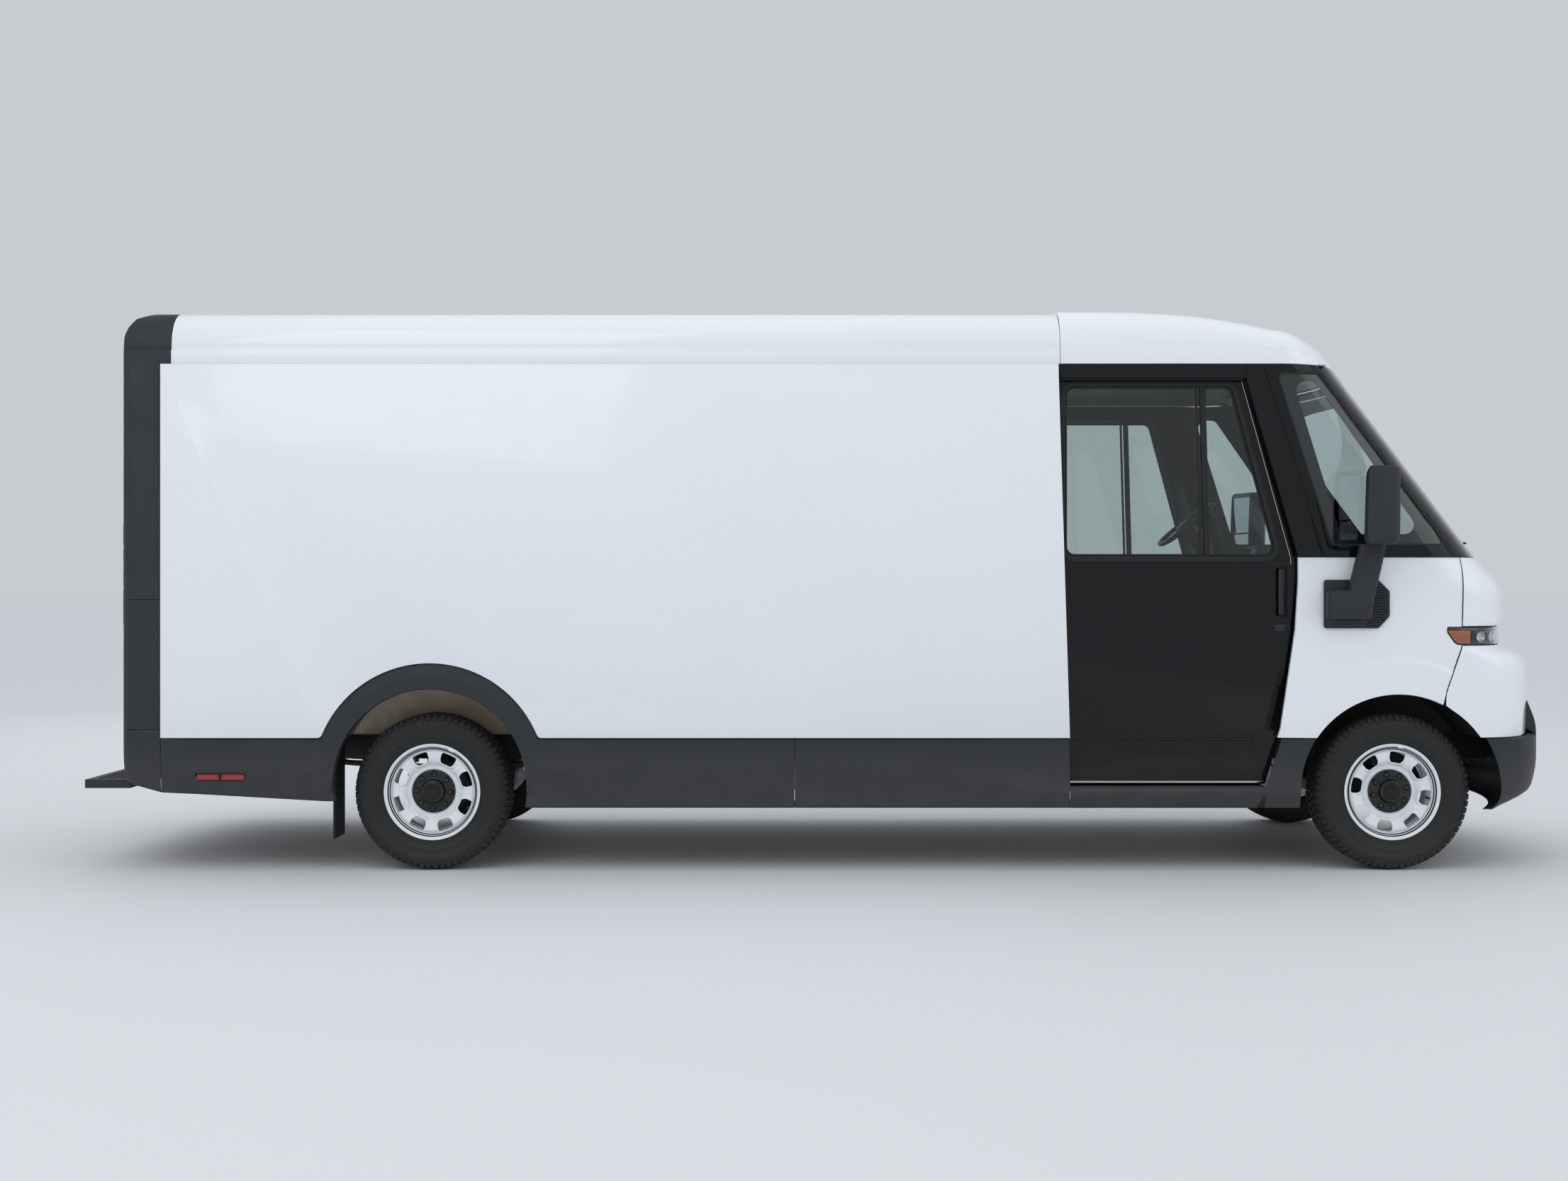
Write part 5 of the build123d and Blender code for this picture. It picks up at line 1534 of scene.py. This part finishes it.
pads = {
    "voxel": 0.006, "pressure": 4, "frames": 20, "seatX": 3400, "driverY": 450,
    "cushionHalf": 232, "cushionZ": (1234, 1316), "fill": 0.6, "channelDepth": 6, "channelWidth": 4,
    # height, rear, front and half width
    "back": [(1228, 3166, 3268, 205), (1260, 3158, 3275, 216), (1400, 3140, 3262, 222),
             (1560, 3120, 3244, 222), (1700, 3112, 3226, 212), (1790, 3116, 3212, 190),
             (1828, 3124, 3204, 165)],
    "head": [(1866, 3134, 3196, 96), (1885, 3126, 3203, 108), (1940, 3124, 3200, 112),
             (1995, 3126, 3198, 104), (2020, 3134, 3192, 88)],
}


# Blown up as cloth, no point moving further than the cap
def inflated(piece, cap, restZ=None):
    only(piece)
    piece.data.remesh_voxel_size = pads["voxel"]
    bpy.ops.object.voxel_remesh()
    starts = [v.co.copy() for v in piece.data.vertices]
    cloth = piece.modifiers.new("cloth", "CLOTH")
    cloth.settings.use_pressure = True
    cloth.settings.uniform_pressure_force = pads["pressure"]
    cloth.settings.quality = 3
    cloth.settings.effector_weights.gravity = 0
    cloth.point_cache.frame_end = pads["frames"]
    for step in range(1, pads["frames"] + 1):
        bpy.context.scene.frame_set(step)
    bpy.ops.object.modifier_apply(modifier="cloth")
    bpy.context.scene.frame_set(1)
    for v, start in zip(piece.data.vertices, starts):
        move = v.co - start
        if move.length > cap / 1000:
            v.co = start + move * (cap / 1000 / move.length)
        if restZ:          # flat where it rests on the seat's base
            v.co.z = max(v.co.z, restZ / 1000)
    applied(piece, "SUBSURF", levels=1)
    return smoothed(piece, 60)


# Sewn channels: the surface dips where a point is near one of the lines, given as distances
def channelled(piece, distances):
    depth, width = pads["channelDepth"], pads["channelWidth"]
    for v in piece.data.vertices:
        place = v.co * 1000
        near = min(abs(d) for d in distances(place.x - van["rearAxle"], place.y, place.z))
        if near < width * 3:
            v.co -= v.normal * (depth / 1000 * exp(-(near / width) ** 2))
    return piece


def makeSeat():
    x0, y0 = pads["seatX"], pads["driverY"]
    half, (low, high) = pads["cushionHalf"], pads["cushionZ"]
    cushion = block("seatPad", (x0 - 92, x0 + 272), (y0 - half, y0 + half), (low, high), 0)
    editAll(cushion)
    bpy.ops.mesh.subdivide(number_cuts=15)
    bpy.ops.object.mode_set(mode="OBJECT")
    for v in cushion.data.vertices:          # crowned, its front edge lower, its sides drawn in
        u = (v.co.x * 1000 - van["rearAxle"] - x0 - 90) / 182
        w = (v.co.y * 1000 - y0) / half
        top = (v.co.z * 1000 - low) / (high - low)
        v.co.z += top * (0.012 * (1 - u * u) * (1 - w * w) - 0.02 * max(0, u - 0.6) * 2 + 0.012 * abs(w) ** 4)
        v.co.x -= 0.012 * (1 - w * w) * (1 if u > 0.98 else -1 if u < -0.98 else 0)
        v.co.y -= 0.01 * (1 - u * u) * (1 if w > 0.98 else -1 if w < -0.98 else 0)
    bevelled(cushion, 16, 3, 50)
    inflated(cushion, 22, 1216.5)

    def cushionSeams(x, y, z):
        top, middle = z > 1280, abs(y - y0) < 138
        return (abs(abs(y - y0) - 138) if top else 99, abs(x - x0 - 140) if top and middle else 99,
                abs(x - x0 - 20) if top and middle else 99, z - 1292)

    channelled(cushion, cushionSeams)
    back = lofted("backPad", [levelLoop(a, b, y0 - wide, y0 + wide, z, 42, 34)
                              for z, a, b, wide in pads["back"]])
    inflated(back, 22)

    def backSeams(x, y, z):
        face, middle = x > 3190, abs(y - y0) < 128
        across = [abs(z - line) if face and middle else 99 for line in (1400, 1520, 1640, 1740)]
        return (abs(abs(y - y0) - 128) if face else 99, *across)

    channelled(back, backSeams)
    head = lofted("headPad", [levelLoop(a, b, y0 - wide, y0 + wide, z, 26, 22)
                              for z, a, b, wide in pads["head"]])
    inflated(head, 12)
    for piece, node in ((cushion, "seat_cushion"), (back, "seat_back"), (head, "")):
        smoothed(piece, 60)
        nodes = (node,) if node else ()
        rides(piece, "root", "wovenSeatCloth", nodes)
    posts = [tube("headPost", [at(3168, y0 + y, 1822), at(3166, y0 + y, 1880)], 6) for y in (-62, 62)]
    cheek = rounded([(3150, 1222), (3290, 1222), (3262, 1300), (3190, 1372), (3150, 1372)], 20, 5)
    hinge = [softPlate("recliner", cheek, y0 + a, y0 + b, 3, angle=35) for a, b in ((-243, -237), (237, 243))]
    rides(joined("seatFittings", *posts, *hinge), "root", "satinBlackPlastic")


steering = {"place": (3960, 450, 1720), "lean": 52, "radius": 187, "rimRadius": 13.5}


# A point on the steering wheel's own axes: out from the hub, round it and up the column
def wheelPlace(radius, angle, height, squash=1):
    tilt = radians(steering["lean"] - 90)
    hubX, hubY, hubZ = steering["place"]
    x, y = -radius * cos(angle) * squash, radius * sin(angle)
    return (hubX + x * cos(tilt) + height * sin(tilt), hubY + y,
            hubZ - x * sin(tilt) + height * cos(tilt))


def wheelTube(name, places, radius, closed=False):
    return tube(name, [at(*wheelPlace(*place)) for place in places], radius, closed)


def makeSteering():
    def flat(angle):          # the rim is a little flat at the bottom
        return 1 - 0.07 * max(0, cos(angle)) ** 6

    angles = [2 * pi * i / 64 for i in range(64)]
    rim = wheelTube("steeringRim", [(steering["radius"], a, 0, flat(a)) for a in angles],
                    steering["rimRadius"], True)
    profile = [(0, 22), (34, 20), (52, 12), (58, 0), (54, -12), (46, -22), (40, -40), (0, -42)]
    hub = skin("steeringHub", 40, 7, lambda u, v: wheelPlace(profile[round(v * 7)][0], 2 * pi * u,
                                                             profile[round(v * 7)][1]))
    outwards(hub, 0.0001)
    smoothed(hub, 40)
    spokes = []
    for angle in (0, pi / 2, -pi / 2):
        for side in (-0.13, 0.13):
            places = [(44, angle + side * 2.4, -4), (110, angle + side * 1.2, -6), (180, angle + side, 0)]
            spokes.append(wheelTube("spoke", places, 6.5))
    column = wheelTube("steeringColumn", [(0, 0, -30), (0, 0, -590)], 27)
    shroud = wheelTube("columnShroud", [(0, 0, -44), (0, 0, -60), (0, 0, -190)], 48)
    stalks = [wheelTube("stalk", [(30, a, -80), (110, a, -74), (165, a, -62)], 6) for a in (pi / 2, -pi / 2)]
    rides(joined("steering", rim, hub, *spokes, column, shroud, *stalks), "root",
          "satinBlackPlastic", ("steering_wheel",))


def makeDash():
    parts = []
    for y0, y1 in ((760, 900), (190, 310), (-310, -190), (-900, -760)):
        vent = frontPanel("ventFrame", (y0, y1), (1452, 1512), (4296, 4322), 14, 5, 3)
        cut(vent, frontPanel("hole", (y0 + 9, y1 - 9), (1461, 1503), (4280, 4312), 8, 4))
        parts.append(smoothed(vent, 35))
        for z in (1470, 1482, 1494):
            parts.append(block("ventVane", (4300, 4312), (y0 + 8, y1 - 8), (z - 1.5, z + 1.5), 1))
    hood = rounded([(4330, 1524), (4322, 1586), (4352, 1604), (4500, 1560), (4520, 1512)], 10, 5)
    shelf = rounded([(4296, 1300), (4280, 1306), (4282, 1330), (4300, 1336)], 6, 4)
    stack = rounded([(4310, 1180), (4288, 1420), (4300, 1450), (4330, 1450), (4350, 1180)], 14, 5)
    parts += [softPlate("dialHood", hood, 290, 610, 8, 3, 35),
              softPlate("dashShelf", shelf, -930, 180, 3, angle=35),
              smoothed(frontPanel("gloveLid", (-860, -330), (1210, 1392), (4290, 4314), 24, 6, 4), 35),
              softPlate("centreStack", stack, -160, 160, 6, 3, 35)]
    knobs = []
    profile = [(4306, 0), (4306, 19), (4288, 19), (4284, 17), (4275, 15), (4273, 13), (4273, 0)]
    for y in (-70, 0, 70):
        sections = []
        for angle in spread(0, 2 * pi, 24):
            sections.append([(x, y + r * cos(angle), 1262 + r * sin(angle)) for x, r in profile])
        knob = gridSkin("knob", sections)
        outwards(knob, 0.0001)
        knobs.append(smoothed(knob, 40))
    rides(joined("dashDetails", *parts, *knobs), "root", "cabPlastic")
    screens = [smoothed(frontPanel("screen", across, up, through, 10, 5, 2), 30) for across, up, through in (
        ((320, 580), (1532, 1584), (4321, 4330)), ((-130, 130), (1310, 1430), (4280, 4292)))]
    rides(joined("dashScreens", *screens), "root", "glossAcrylic")


# Grey lining under the roof, and the sun visors
def makeTrim():
    roofTrim = []
    for i in range(25):
        x = mix(3046, 4330, i / 24)
        edge = 1052 if x < 3900 else 1052 - (x - 3900) * 0.09
        low = 2447 - 6 * ease((x - 4200) / 130)
        crown = 92 * (1 - ease((x - 3700) / 640) * 0.85)
        roofTrim.append([(x, edge * s, low + crown * (1 - abs(s) ** 2.6)) for s in spread(-1, 1, 24)])
    lining = facing(gridSkin("headLining", roofTrim), (0, 0, -1))
    applied(lining, "SOLIDIFY", thickness=0.006, offset=-1)
    smoothed(lining, 40)
    visors = []
    for y in (470, -470):
        face = [at(4300, y - 200, 2396), at(4300, y + 200, 2396), at(4215, y + 200, 2438),
                at(4215, y - 200, 2438)]
        visors.append(smoothed(plate("sunVisor", face, (6, 0, 12), 5, 3), 40))
    rides(joined("cabTrim", lining, *visors), "root", "greyTrimPlastic")


def makeWipers():
    def onScreen(y, z, off):
        big = cab["noseRadius"]
        return at(screenX(z) - big + sqrt(big * big - y * y) + off, y, z)

    pieces = []
    for pivot, low, high in ((610, 20, 600), (-20, -610, -30)):
        blade = [onScreen(mix(low, high, s), 1592 + 26 * s, 9) for s in spread(0, 1, 14)]
        spine = [onScreen(mix(low, high, s), 1592 + 26 * s, 17) for s in spread(0.06, 0.935, 14)]
        middle = mix(low, high, 0.5)
        arm = [onScreen(pivot, 1534, 20), onScreen(mix(pivot, middle, 0.2), 1548, 26),
               onScreen(mix(pivot, middle, 0.6), 1582, 27), onScreen(middle, 1605, 22)]
        pieces += [tube("wiperBlade", blade, 5, sides=3), tube("wiperSpine", spine, 4, sides=3),
                   tube("wiperArm", arm, 6.5),
                   tube("wiperPivot", [onScreen(pivot, 1532, 1), onScreen(pivot, 1530, 24)], 15)]
    rides(joined("wipers", *pieces), "root", "satinBlackPlastic")


makeSeat()
makeSteering()
makeDash()
makeTrim()
makeWipers()
print("inside of the cab and wipers made")



for node, (finish, bevel) in solids.items():
    eased(node, finish, bevel)
print("solids eased:", len(solids))


# Floor, lamps and camera

studio = {
    "floor": "#DCDDDE", "backdrop": "#C8CCD1", "sky": "#EEF2F8", "skyStrength": 0.93, "floorHalf": 300,
    "camera": (-0.251, -10.24, 1.364), "lens": 43.7, "sensor": 36, "shiftUp": -0.00136, "clipEnd": 800,
}


def makeStudioFloor():
    only()
    bpy.ops.mesh.primitive_plane_add(size=2 * studio["floorHalf"], location=(0, 0, 0))
    floor = bpy.context.object
    floor.name = "studioFloor"
    material = bpy.data.materials.new("paintedConcrete")
    material.use_nodes = True
    shader = material.node_tree.nodes["Principled BSDF"]
    shader.inputs["Base Color"].default_value = linear(studio["floor"])
    shader.inputs["Roughness"].default_value = 0.75
    floor.data.materials.append(material)


def makeSky():
    world = bpy.data.worlds.new("softSky")
    bpy.context.scene.world = world
    world.use_nodes = True
    tree = world.node_tree
    plain = tree.nodes["Background"]
    plain.inputs["Color"].default_value = linear(studio["sky"])
    plain.inputs["Strength"].default_value = studio["skyStrength"]
    seen = addNode(tree, "Background", {"Color": linear(studio["backdrop"]), "Strength": 1.0})
    ray = addNode(tree, "LightPath")
    first = addNode(tree, "Math", {"operation": "MAXIMUM"}, {0: ray.outputs["Is Camera Ray"],
                                                             1: ray.outputs["Is Transmission Ray"]})
    every = addNode(tree, "Math", {"operation": "MAXIMUM"}, {0: first.outputs["Value"],
                                                             1: ray.outputs["Is Glossy Ray"]})
    both = addNode(tree, "MixShader", None, {0: every.outputs["Value"], 1: plain.outputs["Background"],
                                             2: seen.outputs["Background"]})
    tree.links.new(both.outputs["Shader"], tree.nodes["World Output"].inputs["Surface"])


# Place in metres, size, power, aim and whether glossy surfaces show it
lamps = [
    {"name": "softKey", "place": (-4.5, -8.5, 7.5), "size": 7, "power": 150, "aim": (0.3, 0, 1.2),
     "glossy": True},
    {"name": "noseFill", "place": (9.0, -5.5, 5.0), "size": 6, "power": 70, "aim": (2.0, 0, 1.2),
     "glossy": True},
    {"name": "farFill", "place": (-3.0, 9.5, 6.5), "size": 8, "power": 110, "aim": (0, 0, 1.2),
     "glossy": False},
    {"name": "topLight", "place": (0.0, 0.0, 9.0), "size": 9, "power": 90, "aim": (0, 0, 0),
     "glossy": False},
]


def makeLamps():
    for lamp in lamps:
        light = bpy.data.lights.new(lamp["name"], "AREA")
        light.shape = "SQUARE"
        light.size = lamp["size"]
        light.energy = lamp["power"]
        holder = bpy.data.objects.new(lamp["name"], light)
        bpy.context.collection.objects.link(holder)
        holder.visible_glossy = lamp["glossy"]          # the far ones would glare on the roof
        holder.location = lamp["place"]
        way = Vector(lamp["aim"]) - Vector(lamp["place"])
        holder.rotation_euler = way.to_track_quat("-Z", "Y").to_euler()


def makeCamera():
    data = bpy.data.cameras.new("photoCamera")
    data.lens = studio["lens"]
    data.sensor_width = studio["sensor"]
    data.shift_y = studio["shiftUp"]
    data.clip_end = studio["clipEnd"]
    camera = bpy.data.objects.new("photoCamera", data)
    bpy.context.collection.objects.link(camera)
    camera.location = studio["camera"]
    camera.rotation_euler = (pi / 2, 0, 0)
    bpy.context.scene.camera = camera


makeStudioFloor()
makeSky()
makeLamps()
makeCamera()
bpy.context.scene.view_settings.view_transform = "Standard"
print("stage, lamps and camera ready")
